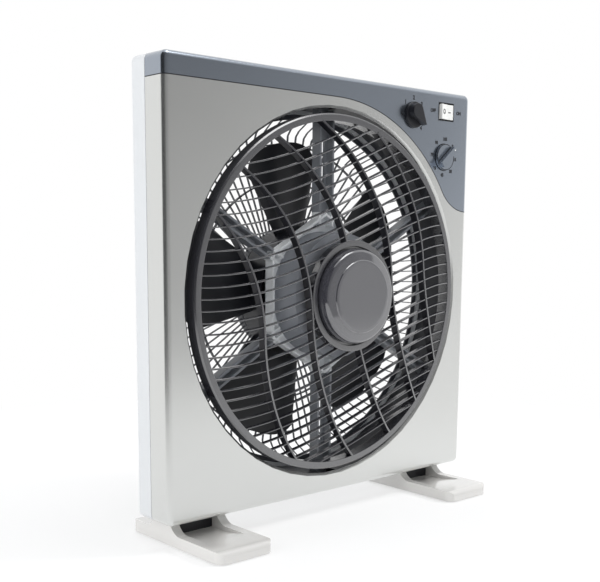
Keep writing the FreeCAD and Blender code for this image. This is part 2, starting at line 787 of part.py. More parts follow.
def make_guard():
    """Bowl of radial fins behind the blades, from a flange on the rear shell to a cup over the hub."""
    cup_front = CUP_BACK - CUP_DEPTH
    cup = faceted(
        [
            (CUP_R - GUARD_WALL, cup_front),
            (CUP_R, cup_front),
            (CUP_R, CUP_BACK - CUP_EDGE),
            (CUP_R - CUP_EDGE, CUP_BACK),
            (0, CUP_BACK),
            (0, CUP_BACK - GUARD_WALL),
            (CUP_R - CUP_EDGE - GUARD_WALL, CUP_BACK - GUARD_WALL),
            (CUP_R - GUARD_WALL, CUP_BACK - CUP_EDGE - GUARD_WALL),
        ],
        HUB_SIDES,
    )
    flange_back = BACK_WALL + GUARD_WALL
    pieces = [cup, ring_of(GUARD_RIM_R, GUARD_FLANGE_R, BACK_WALL, flange_back, GUARD_FINS)]
    start = CUP_R - GUARD_WALL / 2
    top = guard_line(start)
    tip = (GUARD_RIM_R + GUARD_OPENING_R) / 2
    inner_r = GUARD_SHOULDER_R - GUARD_SHOULDER_WIDE
    fin = outline(
        lambda r, d: Vector(r, FRONT_Y + d, AXIS_Z - GUARD_FIN_THICK / 2),
        [
            (start, top - GUARD_FIN_DEPTH),
            (start, top),
            (GUARD_SHOULDER_R, SHOULDER_BACK),
            (tip, flange_back - GUARD_FIN_SINK),
            (GUARD_RIM_R - GUARD_FIN_SINK, BACK_WALL + GUARD_FIN_SINK),
            (inner_r, SHOULDER_BACK - GUARD_FIN_DEPTH),
        ],
    )
    fin = Part.Face(fin).extrude(Vector(0, 0, GUARD_FIN_THICK))
    for k in range(GUARD_FINS):
        pieces.append(turned(fin, 360 / GUARD_FINS * k))
    for r in (CUP_R + GUARD_INNER_HOOP, GUARD_SHOULDER_R - GUARD_OUTER_HOOP):
        middle = guard_line(r) - GUARD_FIN_DEPTH / 2
        reach = GUARD_HOOP_DEPTH / 2
        pieces.append(ring_of(r - GUARD_HOOP_THICK, r, middle - reach, middle + reach, GUARD_FINS))
    return fuse(pieces)


def make_speed_knob():
    base = -KNOB_FLOAT
    top = base - SPEED_GRIP_HEIGHT
    skirt = post(SPEED_SKIRT_R, base - SPEED_SKIRT_THICK, base, KNOB_SIDES, SPEED_X, SPEED_Z)
    touch = math.acos(SPEED_GRIP_R / SPEED_GRIP_NOSE)
    drop = [(SPEED_X + SPEED_GRIP_NOSE, SPEED_Z)]
    for k in range(SPEED_GRIP_SIDES + 1):
        a = touch + 2 * (math.pi - touch) * k / SPEED_GRIP_SIDES
        drop.append((SPEED_X + SPEED_GRIP_R * math.cos(a), SPEED_Z + SPEED_GRIP_R * math.sin(a)))
    grip = slab(drop, top, base - SPEED_SKIRT_THICK)
    grip = spun(grip, SPEED_POINTS, SPEED_X, SPEED_Z)
    return fuse([skirt, grip, rod(SPINDLE_R, base, SPINDLE_REACH, SPEED_X, SPEED_Z)])


def make_timer_knob():
    base = -KNOB_FLOAT
    disc = post(TIMER_DISC_R, base - TIMER_DISC_THICK, base, KNOB_SIDES, TIMER_X, TIMER_Z)
    half = TIMER_BAR_LENGTH / 2
    wide = TIMER_BAR_WIDTH / 2
    bar = box(TIMER_X - half, TIMER_X + half, base - TIMER_BAR_HEIGHT, base, TIMER_Z - wide, TIMER_Z + wide)
    bar = spun(bar, TIMER_POINTS, TIMER_X, TIMER_Z)
    return fuse([disc, bar, rod(SPINDLE_R, base, SPINDLE_REACH, TIMER_X, TIMER_Z)])


def make_control_body(x, z, half, depth):
    body = box(x - half, x + half, WALL, WALL + depth, z - half, z + half)
    return body.cut(rod(SPINDLE_R + RUNNING_GAP, 0, SPINDLE_REACH + RUNNING_GAP, x, z))


def make_rocker():
    half = ROCKER_WIDTH / 2
    tall = ROCKER_HEIGHT / 2
    profile = outline(
        lambda x, d: Vector(ROCKER_X + x, FRONT_Y + d, ROCKER_Z - tall),
        [
            (-half, -ROCKER_PROUD),
            (0, -ROCKER_PROUD + ROCKER_DIP),
            (half, -ROCKER_PROUD),
            (half, ROCKER_PIVOT_DEPTH - ROCKER_PROUD),
            (0, ROCKER_PIVOT_DEPTH),
            (-half, ROCKER_PIVOT_DEPTH - ROCKER_PROUD),
        ],
    )
    rocker = Part.Face(profile).extrude(Vector(0, 0, ROCKER_HEIGHT))
    return rocker.rotated(Vector(ROCKER_X, FRONT_Y + ROCKER_PIVOT_DEPTH, 0), Vector(0, 0, 1), ROCKER_TILT)


def make_rocker_body():
    half = ROCKER_WIDTH / 2 + ROCKER_GAP
    tall = ROCKER_HEIGHT / 2 + ROCKER_GAP

    def block(wall, d0, d1):
        x = half + wall
        z = tall + wall
        return box(ROCKER_X - x, ROCKER_X + x, d0, d1, ROCKER_Z - z, ROCKER_Z + z)

    body = block(ROCKER_BODY_WALL, WALL, WALL + ROCKER_BODY_DEPTH)
    return body.cut(block(0, 0, WALL + ROCKER_CAVITY))


def make_capacitor():
    wide, tall, deep = CAPACITOR_SIZE
    x = -HALF_WIDTH + CAPACITOR_FROM_SIDE
    z = TOP_Z - CAPACITOR_FROM_TOP
    return box(x, x + wide, WALL, WALL + deep, z, z + tall)


def make_cord_inlet():
    front = BACK_WALL - WALL
    back = BACK_WALL + CORD_LIP
    bush = post(CORD_BUSH_R - SEAT_GAP, front, BACK_WALL, SMALL_SIDES, CORD_X, CORD_Z)
    lip = post(CORD_BUSH_R + CORD_LIP, BACK_WALL, back, SMALL_SIDES, CORD_X, CORD_Z)
    bore = post(CORD_R, front - 1, back + 1, SMALL_SIDES, CORD_X, CORD_Z)
    return bush.fuse(lip).removeSplitter().cut(bore)


def make_foot():
    """Left foot: a side outline drawn to the foot's width, with rounded corners in plan."""
    front = -FOOT_OVERHANG
    back = REAR_REACH
    sole = PAD_STAND
    toe = FOOT_TOE_HEIGHT
    heel = FOOT_HEEL_HEIGHT
    low = math.sqrt(0.5)
    tip_low = FOOT_TIP * (1 - low)
    toe_front = front + FOOT_DRAFT
    heel_back = back - FOOT_DRAFT
    front_r = FOOT_RISE - toe
    back_r = FOOT_RISE - heel
    left = -HALF_WIDTH + FOOT_INSET
    right = left + FOOT_WIDTH
    saddle_front = FOOT_NECK_FRONT - FOOT_SADDLE_FRONT
    saddle_back = FOOT_NECK_BACK + FOOT_SADDLE_BACK
    front_bend = (saddle_front + FOOT_SADDLE_FRONT * low, toe + front_r * (1 - low))
    back_bend = (saddle_back - FOOT_SADDLE_BACK * low, heel + back_r * (1 - low))
    profile = outline(
        lambda d, z: Vector(left, FRONT_Y + d, z),
        [
            (front, sole),
            (toe_front, toe - FOOT_TIP),
            ((toe_front + tip_low, toe - tip_low), (toe_front + FOOT_TIP, toe)),
            (saddle_front, toe),
            (front_bend, (FOOT_NECK_FRONT, FOOT_RISE)),
            (FOOT_NECK_BACK, FOOT_RISE),
            (back_bend, (saddle_back, heel)),
            (heel_back - FOOT_TIP, heel),
            ((heel_back - tip_low, heel - tip_low), (heel_back, heel - FOOT_TIP)),
            (back, sole),
        ],
    )
    body = Part.Face(profile).extrude(Vector(FOOT_WIDTH, 0, 0))
    plan = outline(
        lambda x, d: Vector(x, FRONT_Y + d, 0), round_rect(left, right, front, back, FOOT_CORNER_R)
    )
    body = body.common(Part.Face(plan).extrude(Vector(0, 0, FOOT_RISE)))
    middle = (left + right) / 2
    pocket_front = saddle_front - FOOT_POCKET_LENGTH
    pocket_back = FOOT_NECK_FRONT + FOOT_POCKET_UNDER
    pocket = outline(
        lambda d, z: Vector(middle - FOOT_POCKET_WIDTH / 2, FRONT_Y + d, z),
        [
            (pocket_front, toe),
            (saddle_front, toe - FOOT_POCKET_DEPTH),
            (pocket_back, toe - FOOT_POCKET_DEPTH),
            (pocket_back, FOOT_RISE + 1),
            (pocket_front, FOOT_RISE + 1),
        ],
    )
    body = body.cut(Part.Face(pocket).extrude(Vector(FOOT_POCKET_WIDTH, 0, 0)))
    pads = []
    for d in (front + PAD_MARGIN, back - PAD_MARGIN - PAD_LENGTH):
        corner_at = Vector(middle - PAD_WIDTH / 2, FRONT_Y + d, 0)
        pads.append(Part.makeBox(PAD_WIDTH, PAD_LENGTH, PAD_STAND + PAD_SINK, corner_at))
    for pad in pads:
        body = body.cut(pad)
    return body, pads


def mirrored(shape):
    return shape.mirror(Vector(0, 0, 0), Vector(1, 0, 0))


front_shell, control_panel = make_front()
save("front_shell", front_shell)
save("control_panel", control_panel)
save("rear_shell", make_rear())
save("rear_guard", make_guard())
save("air_duct", make_duct())
save("front_spider", make_spider())
save("louvre_motor", make_louvre_motor())
save("louvre_shaft", make_louvre_shaft())
save("louvre_wheel", make_louvre())
save("louvre_cap", make_cap())
save("fan_blades", make_blades())
make_motor()
save("speed_knob", make_speed_knob())
save("speed_switch", make_control_body(SPEED_X, SPEED_Z, SWITCH_HALF, SWITCH_DEPTH))
save("timer_knob", make_timer_knob())
save("timer_unit", make_control_body(TIMER_X, TIMER_Z, TIMER_HALF, TIMER_DEPTH))
save("louvre_rocker", make_rocker())
save("louvre_switch", make_rocker_body())
save("run_capacitor", make_capacitor())
save("cord_inlet", make_cord_inlet())
left_foot, left_pads = make_foot()
save("left_foot", left_foot)
save("right_foot", mirrored(left_foot))
save("foot_pads", Part.makeCompound(left_pads + [mirrored(pad) for pad in left_pads]))
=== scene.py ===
import json
import math

import bmesh
import bpy
from mathutils import Matrix, Vector
from mathutils.bvhtree import BVHTree


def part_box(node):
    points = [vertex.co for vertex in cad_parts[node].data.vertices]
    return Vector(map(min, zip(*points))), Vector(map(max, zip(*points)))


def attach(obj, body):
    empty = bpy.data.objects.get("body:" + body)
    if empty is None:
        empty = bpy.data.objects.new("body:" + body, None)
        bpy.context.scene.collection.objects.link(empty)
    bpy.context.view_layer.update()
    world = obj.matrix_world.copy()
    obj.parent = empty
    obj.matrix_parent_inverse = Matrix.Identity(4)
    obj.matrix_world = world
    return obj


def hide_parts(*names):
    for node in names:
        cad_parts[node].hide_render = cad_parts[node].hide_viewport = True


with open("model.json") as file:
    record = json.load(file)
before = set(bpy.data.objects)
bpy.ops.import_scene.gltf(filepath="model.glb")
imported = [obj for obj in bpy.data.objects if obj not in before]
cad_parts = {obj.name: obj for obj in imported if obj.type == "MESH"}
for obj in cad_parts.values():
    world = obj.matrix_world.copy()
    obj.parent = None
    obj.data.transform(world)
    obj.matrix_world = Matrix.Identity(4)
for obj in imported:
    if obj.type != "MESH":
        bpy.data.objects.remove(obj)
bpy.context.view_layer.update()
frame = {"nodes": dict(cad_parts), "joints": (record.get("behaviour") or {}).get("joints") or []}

NODES = frame["nodes"]
JOINTS = {joint["name"]: joint for joint in frame["joints"]}

# Sizes are in millimetres and place() turns them into the frame's metres.
# X runs to the right, depth runs back from the front face, Z runs up from the floor.
MM = 0.001
FACE_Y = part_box("control_panel")[0].y
AXIS_Z = JOINTS["louvre_spin"]["pos_m"][2] / MM


def place(x, depth, z):
    return Vector((x * MM, FACE_Y + depth * MM, z * MM))


def depth_of(y):
    return (y - FACE_Y) / MM


def node_depths(node):
    """Depths of a node's front and back."""
    low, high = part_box(node)
    return depth_of(low.y), depth_of(high.y)


# Louvre wheel: rim ring
RING_OUT_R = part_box("louvre_wheel")[1].x / MM
RING_WIDTH = 6.6
RING_IN_R = RING_OUT_R - RING_WIDTH
RING_FRONT = -4.0
RING_BACK = 8.0
RING_CHAMFER = 1.3
RING_SKIN = 2.4
RING_OUT_WALL = 2.0
RING_IN_WALL = 1.8
RING_ROUND = 0.5
RING_BACK_ROUND = 0.3
RING_SIDES = 192

# Louvre wheel: grille and hub
GRILLE_RISE = 20.0
GRILLE_DEPTH = 8.0
GRILLE_FRONT = RING_FRONT - GRILLE_RISE
HUB_RING_R = 49.75
HUB_BORE_R = 44.4
HUB_HOLE_R = 8.0
HUB_ROUND = 0.5
HUB_CORNER_ROUND = 0.8
HUB_SIDES = 128
PLATE_THICK = 3.0

# Louvre wheel: slats and ribs
SLAT_PITCH = 9.65
SLAT_PAIRS = 15
SLAT_PHASE = -0.8
SLAT_THICK = 1.1
SLAT_DEPTH = 4.5
SLAT_SLOPE = 0.37
SLAT_LEVEL_AT = 147.0
SLAT_SET_BACK = 0.6
SLAT_STEPS = 56
RIB_SPACING = 49.3
RIB_PAIRS = 2
RIB_THICK = 1.9
RIB_BEND_R = 177.0
RIB_LEAN = 3.4
RIB_STEPS = 72
RIB_EDGE = 0.7
EDGE_ROUND = 0.45
BAR_OVERLAP = 1.5
FINE_STEPS = 6

# Louvre cap: a slightly dished face, a step round it and a rounded shoulder
CAP_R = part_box("louvre_cap")[1].x / MM
CAP_FRONT, CAP_BACK = node_depths("louvre_cap")
CAP_FACE_R = 32.0
CAP_DISH = 0.25
CAP_FACE_EDGE = 2.5
CAP_EDGE_DROP = 0.15
CAP_STEP_WIDTH = 0.6
CAP_STEP = 1.1
CAP_SHOULDER_WIDTH = 1.2
CAP_SHOULDER = 2.6
CAP_WALL_FROM = 9.0
CAP_FACE_ROUND = 8.0
CAP_EDGE_ROUND = 0.7
CAP_STEP_ROUND = 0.3
CAP_SHOULDER_ROUND = 4.5
CAP_WALL_ROUND = 3.0
CAP_SIDES = 160

# Front bracket's can and hexagon, painted light and shade on one pale plastic: the can mid grey,
# the hexagon's rim near white as a painted highlight where light falls strongly; radius that each
# reaches, and its colour
BRACKET_LIGHT_AND_SHADE_ZONES = ((57.0, (160, 163, 170)), (75.0, (236, 238, 240)))

# Blade wheel
BLADE_COUNT = 5
BLADE_FIRST = 27.0
BLADE_TIP_R = 139.0
BLADE_HUB_R = 62.0
BLADE_HUB_WALL = 2.5
BLADE_HUB_SIDES = 96
BLADE_HUB_ROUND = 1.5
BLADE_LIP_ROUND = 0.6
BLADE_BORE_R = 5.0
BLADE_BORE_ROUND = 0.3
BLADE_ROOT_SUNK = 1.0
BLADE_ROOT_R = BLADE_HUB_R - BLADE_ROOT_SUNK
BLADE_ROOT_SPAN = 46.0
BLADE_TIP_SPAN = 44.0
BLADE_CAMBER = 2.0
BLADE_TIP_CUT = 12.0
BLADE_TIP_POWER = 4
BLADE_THICK = 2.0
BLADE_EDGE_THINNED = 0.75
BLADE_EDGE_POWER = 10
HUB_FRONT, BLADE_BACK = node_depths("fan_blades")
BLADE_DEPTH = 16.0
BLADE_FRONT = BLADE_BACK - BLADE_DEPTH
BLADE_ROWS = 14
BLADE_COLUMNS = 20

# Rear guard
GUARD_FINS = 90
GUARD_FIN_THICK = 1.0
GUARD_FIN_DEPTH = 2.0
GUARD_FIN_TAPER = 0.6
BACK_WALL, CUP_BACK = node_depths("rear_guard")
GUARD_WALL = 2.5
GUARD_SIDES = 168
GUARD_HOOPS = (104.0, 138.0)
HOOP_WIDTH = 1.2
HOOP_DEPTH = 3.0
HOOP_SET_IN = 0.6
HOOP_ROUND = 0.4
GUARD_FLANGE_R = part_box("rear_guard")[1].x / MM
GUARD_FLANGE_WIDTH = 11.5
GUARD_RIM_R = GUARD_FLANGE_R - GUARD_FLANGE_WIDTH
GUARD_EDGE_ROUND = 0.4
GUARD_BACK_ROUND = 1.2
CUP_R = 58.0
CUP_DEPTH = 11.5
CUP_FRONT = CUP_BACK - CUP_DEPTH
CUP_EDGE = 4.0
CUP_SIDES = 128
SHOULDER_R = 146.0
SHOULDER_CLEARANCE = 6.4
SHOULDER_BACK = BLADE_BACK + SHOULDER_CLEARANCE
# Radius and depth along the back edge of a fin
GUARD_FIN_LINE = (
    (CUP_R - 1.2, CUP_BACK - CUP_EDGE),
    (SHOULDER_R, SHOULDER_BACK),
    (SHOULDER_R + 5.0, SHOULDER_BACK - 4.0),
    (GUARD_RIM_R - 1.5, BACK_WALL + 8.5),
    (GUARD_RIM_R + 2.2, BACK_WALL + 1.5),
)

# Marks on the panel, in millimetres and degrees from a knob's or the rocker's axis
SPEED_AT = Vector(JOINTS["speed_turn"]["pos_m"]) / MM
TIMER_AT = Vector(JOINTS["timer_turn"]["pos_m"]) / MM
ROCKER_AT = Vector(JOINTS["rocker_tilt"]["pos_m"]) / MM
MARK_LIFT = 0.04
MARK_THICK = 0.02
MARK_WEIGHT = 0.28
MARK_HEIGHT = 3.6
FONT_SIZE_PER_HEIGHT = 1.4
SPEED_MARK_R = 16.0
SPEED_MARKS = {"0": 180, "1": 136, "2": 90, "3": 44, "4": -46}
TIMER_ZERO = 40.0
TIMER_MARK_R = 17.5
TIMER_MARK_HEIGHT = 3.1
TIMER_MARK_TURN = 45.0
TIMER_WORDS = ("0", "15", "30", "45", "60", "75", "90", "105")
TIMER_MARKS = {word: TIMER_ZERO - TIMER_MARK_TURN * k for k, word in enumerate(TIMER_WORDS)}
ROCKER_MARK_HEIGHT = 4.4
ROCKER_MARKS = (("rocker_o", "O", -4.6), ("rocker_bar", "–", 4.6))
ROCKER_WORDS = (("rocker_off_word", "OFF", -19.5), ("rocker_on_word", "ON", 19.0))

# Painted shadow lines on the timer's dial and round the rocker's hole, and a painted highlight dot
# on the timer's bar
INK_THICK = 0.05
TIMER_SEAT_SHADOW_HALF = (11.4, 3.9)
TIMER_SHADOW_R = 12.6
TIMER_SHADOW_WIDTH = 0.7
TIMER_SHADOW_SIDES = 96
TIMER_DISC_AT = TIMER_SHADOW_R * 0.8
TIMER_GLINT_R = 0.8
TIMER_GLINT_AT = 10.8
TIMER_GLINT_SIDES = 24
ROCKER_HOLE_HALF = (10.9, 8.1)
ROCKER_SHADOW_WIDTH = 0.7

# Painted shadow line where the panel meets the front shell, and the normals that tell its faces
# apart
TRIM_SHADOW_WIDTH = 0.8
TRIM_SHADOW_THICK = 0.03
PANEL_HOLES_R = 14.0
SIDE_REACH = 0.1
TURNED_TO = 0.05
SQUARE_TO = 0.98
EDGEWAYS_TO = 0.02
JOINT_CORNER = 0.3

# Speed knob: skirt, and a grip drawn from a circle to a nose, from the knob's axis
SKIRT_R = 12.5
SKIRT_THICK = 3.2
SKIRT_DRAFT = 0.4
SKIRT_GAP = 0.3
SKIRT_ROUND = 0.9
SKIRT_FOOT_ROUND = 0.3
SKIRT_SIDES = 72
SPINDLE_R = 3.0
GRIP_R = 7.6
GRIP_CENTRE = (-3.0, 3.0)
GRIP_NOSE = (9.9, -9.6)
GRIP_NOSE_INSET = 1.6
GRIP_TOP = 9.5
GRIP_STEPS = 28
# Inset and depth of the grip's outlines, from its foot to its top
GRIP_OUTLINES = (
    (0.0, -SKIRT_THICK + 0.3),
    (0.5, -GRIP_TOP + 0.7),
    (0.75, -GRIP_TOP + 0.2),
    (1.3, -GRIP_TOP),
)

# Black plate as painted shade at the back of the recess in each foot
RECESS_DEPTH = 25.4
RECESS_THICK = 0.4
RECESS_HALF = 19.7
RECESS_LOW = 5.0
RECESS_HIGH = 22.8

# Camera, solved from the housing's corners, the opening and the feet in the photograph
PHOTO_WIDTH = 600
CAMERA_AT = Vector((-617.7, -655.05, 262.5)) * MM
CAMERA_AZIMUTH = 41.93
CAMERA_PITCH = 8.59
CAMERA_ROLL = 0.43
FOCAL_PIXELS = 971.35
DROP_PIXELS = 88.84
SENSOR = 36.0
CLIP_START = 0.05
CLIP_END = 100

# Mesh handling: weld distance in metres, and angles in degrees
WELD = 1e-6
FLAT_ANGLE = 0.5
BEVEL_ANGLE = 28
BEVEL_SEGMENTS = 3
SHARP_ANGLE = 35
CAP_SHARP_ANGLE = 50
BLADE_SHARP_ANGLE = 40
KNOB_SHARP_ANGLE = 40
MARK_SHARP_ANGLE = 30
PLAIN_SHARP_ANGLE = 30
CORNER_SHARE = 0.48
RAY_START = -1000


# Mesh helpers

class Form:
    """Vertices and faces of one piece."""

    def __init__(self):
        self.points = []
        self.faces = []

    def add(self, points, faces):
        first = len(self.points)
        self.points.extend(points)
        self.faces.extend([tuple(first + i for i in face) for face in faces])


def softened(corners, steps, radius=0.0):
    """Closed outline with its corners rounded. A corner is (a, b), or (a, b, own radius)."""
    out = []
    count = len(corners)
    for k, corner in enumerate(corners):
        here = Vector(corner[:2])
        own = corner[2] if len(corner) > 2 else radius
        if own == 0:
            out.append(here)
            continue
        before = Vector(corners[k - 1][:2]) - here
        after = Vector(corners[(k + 1) % count][:2]) - here
        half = before.angle(after) / 2
        longest = CORNER_SHARE * min(before.length, after.length)
        cut = min(own / math.tan(half), longest)
        start = here + before.normalized() * cut
        end = here + after.normalized() * cut
        for i in range(steps + 1):
            t = i / steps
            out.append((1 - t) ** 2 * start + 2 * t * (1 - t) * here + t ** 2 * end)
    return [(p[0], p[1]) for p in out]


def lathe(form, section, sides, x=0.0, z=AXIS_Z):
    """Closed section of (radius, depth), turned about an axis along Y."""
    points = []
    for k in range(sides):
        a = 2 * math.pi * k / sides
        for r, depth in section:
            points.append(place(x + r * math.cos(a), depth, z + r * math.sin(a)))
    n = len(section)
    faces = []
    for k in range(sides):
        m = (k + 1) % sides
        for i in range(n):
            j = (i + 1) % n
            faces.append((k * n + i, k * n + j, m * n + j, m * n + i))
    form.add(points, faces)


def loft(form, rings):
    """Skin through closed rings of points, with both ends capped."""
    n = len(rings[0])
    points = [p for ring in rings for p in ring]
    faces = [tuple(range(n)), tuple(len(points) - 1 - i for i in range(n))]
    for k in range(len(rings) - 1):
        for i in range(n):
            j = (i + 1) % n
            faces.append((k * n + i, k * n + j, (k + 1) * n + j, (k + 1) * n + i))
    form.add(points, faces)


def slab(form, corners, front, back):
    """Flat plate with corners (x, z) between two depths."""
    loft(form, [[place(x, depth, z) for x, z in corners] for depth in (front, back)])


def oblong(x0, x1, z0, z1):
    return (x0, z0), (x1, z0), (x1, z1), (x0, z1)


def ink_ring(form, inner, outer, ground, sides, x, z):
    """Ring of ink that lies on a surface at the depth ground."""
    top = ground - INK_THICK
    lathe(form, [(inner, top), (outer, top), (outer, ground), (inner, ground)], sides, x, z)


def bar_along(form, path, thick, depth, set_back=0.0):
    """Upright bar that follows a path in the front view, set back from the grille's front."""
    half = thick / 2
    section = [(-half, 0), (half, 0), (half, depth), (-half, depth)]
    section = softened(section, steps=2, radius=EDGE_ROUND)
    rings = []
    for k, (x, z) in enumerate(path):
        before = path[max(k - 1, 0)]
        after = path[min(k + 1, len(path) - 1)]
        along = Vector((after[0] - before[0], after[1] - before[1])).normalized()
        front = dome_front(math.hypot(x, z)) + set_back
        ring = []
        for aside, back in section:
            ring.append(place(x - along.y * aside, front + back, AXIS_Z + z + along.x * aside))
        rings.append(ring)
    loft(form, rings)


def smooth(mesh, angle):
    mesh.shade_smooth()
    mesh.set_sharp_from_angle(angle=math.radians(angle))


def piece(name, form, material, body, slot, replaces=(), sharp=SHARP_ANGLE):
    """Makes an object of a form, seats it on its body and gives it its finish."""
    mesh = bpy.data.meshes.new(name)
    mesh.from_pydata(form.points, [], form.faces)
    work = bmesh.new()
    work.from_mesh(mesh)
    bmesh.ops.remove_doubles(work, verts=work.verts, dist=WELD)
    bmesh.ops.recalc_face_normals(work, faces=work.faces)
    work.to_mesh(mesh)
    work.free()
    finish_piece(name, mesh, material, body, slot, replaces, sharp)


def finish_piece(name, mesh, material, body, slot, replaces, sharp):
    smooth(mesh, sharp)
    obj = bpy.data.objects.new(name, mesh)
    bpy.context.scene.collection.objects.link(obj)
    mesh.materials.clear()
    mesh.materials.append(material)
    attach(obj, body)
    if replaces:
        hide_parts(*replaces)
    weighted = obj.modifiers.new("weighted", "WEIGHTED_NORMAL")
    weighted.keep_sharp = True
    return obj


def node_mesh(node):
    """Working copy of a CAD node's mesh."""
    work = bmesh.new()
    work.from_mesh(NODES[node].data)
    return work


def rounded_node(node, material, body, slot, width):
    """A CAD node's own shape with its sharp edges rounded, standing in for the node."""
    name = node + "_rounded"
    work = node_mesh(node)
    bmesh.ops.remove_doubles(work, verts=work.verts, dist=WELD)
    bmesh.ops.join_triangles(
        work,
        faces=work.faces,
        angle_face_threshold=math.radians(FLAT_ANGLE),
        angle_shape_threshold=math.pi,
    )
    bmesh.ops.recalc_face_normals(work, faces=work.faces)
    mesh = bpy.data.meshes.new(name)
    work.to_mesh(mesh)
    work.free()
    obj = finish_piece(name, mesh, material, body, slot, (node,), SHARP_ANGLE)
    bevel = obj.modifiers.new("bevel", "BEVEL")
    bevel.width = width * MM
    bevel.segments = BEVEL_SEGMENTS
    bevel.limit_method = "ANGLE"
    bevel.angle_limit = math.radians(BEVEL_ANGLE)
    bevel.use_clamp_overlap = True
    bevel.harden_normals = False
    # The bevel comes before the weighted normals
    obj.modifiers.move(1, 0)


# Materials

NOISE_LOW = 0.3
NOISE_HIGH = 0.7
DRIFT_SCALE = 9.0
DRIFT_DETAIL = 4.0
GLOSS_SCALE = 54.0
GLOSS_DETAIL = 3.0
GRAIN_DETAIL = 2.0
GRAIN_HEIGHT = 0.0004
LEAST_ROUGHNESS = 0.02


def linear(r, g, b):
    """sRGB bytes as linear colour."""
    def channel(v):
        v /= 255
        return v / 12.92 if v <= 0.04045 else ((v + 0.055) / 1.055) ** 2.4
    return channel(r), channel(g), channel(b), 1.0


def finish_of(
    name, colour, roughness, spread=0.06, grain=700.0, bump=0.05, metallic=0.0,
    specular=0.5, ior=1.5, coat=0.0, coat_roughness=0.08
):
    """Moulded or worked surface: slow colour drift, uneven gloss and a fine bump."""
    material = bpy.data.materials.new(name)
    material.use_nodes = True
    nodes = material.node_tree.nodes
    links = material.node_tree.links
    shader = nodes["Principled BSDF"]
    shader.inputs["Metallic"].default_value = metallic
    shader.inputs["Specular IOR Level"].default_value = specular
    shader.inputs["IOR"].default_value = ior
    shader.inputs["Coat Weight"].default_value = coat
    shader.inputs["Coat Roughness"].default_value = coat_roughness
    where = nodes.new("ShaderNodeTexCoord")

    def noise(scale, detail):
        texture = nodes.new("ShaderNodeTexNoise")
        texture.inputs["Scale"].default_value = scale
        texture.inputs["Detail"].default_value = detail
        links.new(where.outputs["Object"], texture.inputs["Vector"])
        return texture

    drift = noise(DRIFT_SCALE, DRIFT_DETAIL)
    ramp = nodes.new("ShaderNodeValToRGB")
    tint = linear(*colour)
    stops = ((NOISE_LOW, 1 - spread), (NOISE_HIGH, 1 + spread))
    for element, (position, share) in zip(ramp.color_ramp.elements, stops):
        element.color = [min(1.0, c * share) for c in tint[:3]] + [1.0]
        element.position = position
    links.new(drift.outputs["Fac"], ramp.inputs["Fac"])
    links.new(ramp.outputs["Color"], shader.inputs["Base Color"])

    gloss = noise(GLOSS_SCALE, GLOSS_DETAIL)
    gloss_range = nodes.new("ShaderNodeMapRange")
    gloss_range.inputs["From Min"].default_value = NOISE_LOW
    gloss_range.inputs["From Max"].default_value = NOISE_HIGH
    gloss_range.inputs["To Min"].default_value = max(LEAST_ROUGHNESS, roughness - spread / 2)
    gloss_range.inputs["To Max"].default_value = roughness + spread / 2
    links.new(gloss.outputs["Fac"], gloss_range.inputs["Value"])
    links.new(gloss_range.outputs["Result"], shader.inputs["Roughness"])

    fine = noise(grain, GRAIN_DETAIL)
    relief = nodes.new("ShaderNodeBump")
    relief.inputs["Strength"].default_value = bump
    relief.inputs["Distance"].default_value = GRAIN_HEIGHT
    links.new(fine.outputs["Fac"], relief.inputs["Height"])
    links.new(relief.outputs["Normal"], shader.inputs["Normal"])
    return material


SILVER = finish_of(
    "silver_plastic", (215, 216, 214), 0.26, spread=0.008, grain=1800, bump=0.015,
    metallic=0.92, coat=0.8, coat_roughness=0.2
)
SLATE = finish_of(
    "slate_plastic", (150, 158, 169), 0.22, spread=0.012, grain=1500, bump=0.02,
    metallic=0.95, coat=0.8, coat_roughness=0.15
)
PALE = finish_of("pale_plastic", (217, 219, 221), 0.28, spread=0.01, grain=900, bump=0.03)
FOOT_PALE = finish_of(
    "foot_plastic", (222, 220, 217), 0.2, spread=0.01, grain=900, bump=0.02, coat=1.0
)
# The rear guard's grey plastic, darkened further as painted shade on its backlit fins
GUARD_PAINTED_SHADE = finish_of("guard_painted_shade_plastic", (56, 58, 64), 0.4, spread=0.03, grain=900, bump=0.03)
# Pale plastic of the front bracket, its base grey darker as painted shade on the arms; the zones
# above give the can and the hexagon's rim their painted tones
BRACKET_PAINTED_LIGHT = finish_of(
    "bracket_painted_light_plastic", (136, 139, 145), 0.32, spread=0.02, grain=900, bump=0.03
)
DARK = finish_of(
    "dark_plastic", (42, 42, 48), 0.26, spread=0.03, grain=1100, bump=0.02,
    specular=0.8, ior=2.0, coat=0.3, coat_roughness=0.2
)
# Darker, less glossy copy of the louvre's dark plastic for the ribs' bodies, as painted shade on
# their sides
RIB_PAINTED_SHADE = finish_of("rib_painted_shade_plastic", (34, 34, 40), 0.34, spread=0.03, grain=1100, bump=0.02)
DUCT_DARK = finish_of("duct_plastic", (38, 40, 47), 0.4, spread=0.04, grain=1100, bump=0.04)
GLOSS_DARK = finish_of(
    "gloss_dark_plastic", (66, 66, 72), 0.09, spread=0.02, grain=600, bump=0.01,
    specular=0.8, ior=1.8, coat=1.0
)
BLACK = finish_of("black_plastic", (28, 29, 34), 0.3, spread=0.05, grain=1100, bump=0.03)
WHITE = finish_of("white_plastic", (236, 236, 233), 0.22, spread=0.015, grain=700, bump=0.02)
RUBBER = finish_of(
    "rubber", (44, 44, 46), 0.75, spread=0.1, grain=1500, bump=0.15, specular=0.25
)
STEEL = finish_of(
    "bright_steel", (205, 206, 208), 0.28, spread=0.04, grain=1200, bump=0.04, metallic=1.0
)
CORE_STEEL = finish_of(
    "lamination_steel", (150, 152, 156), 0.42, spread=0.08, grain=900, bump=0.08, metallic=1.0
)
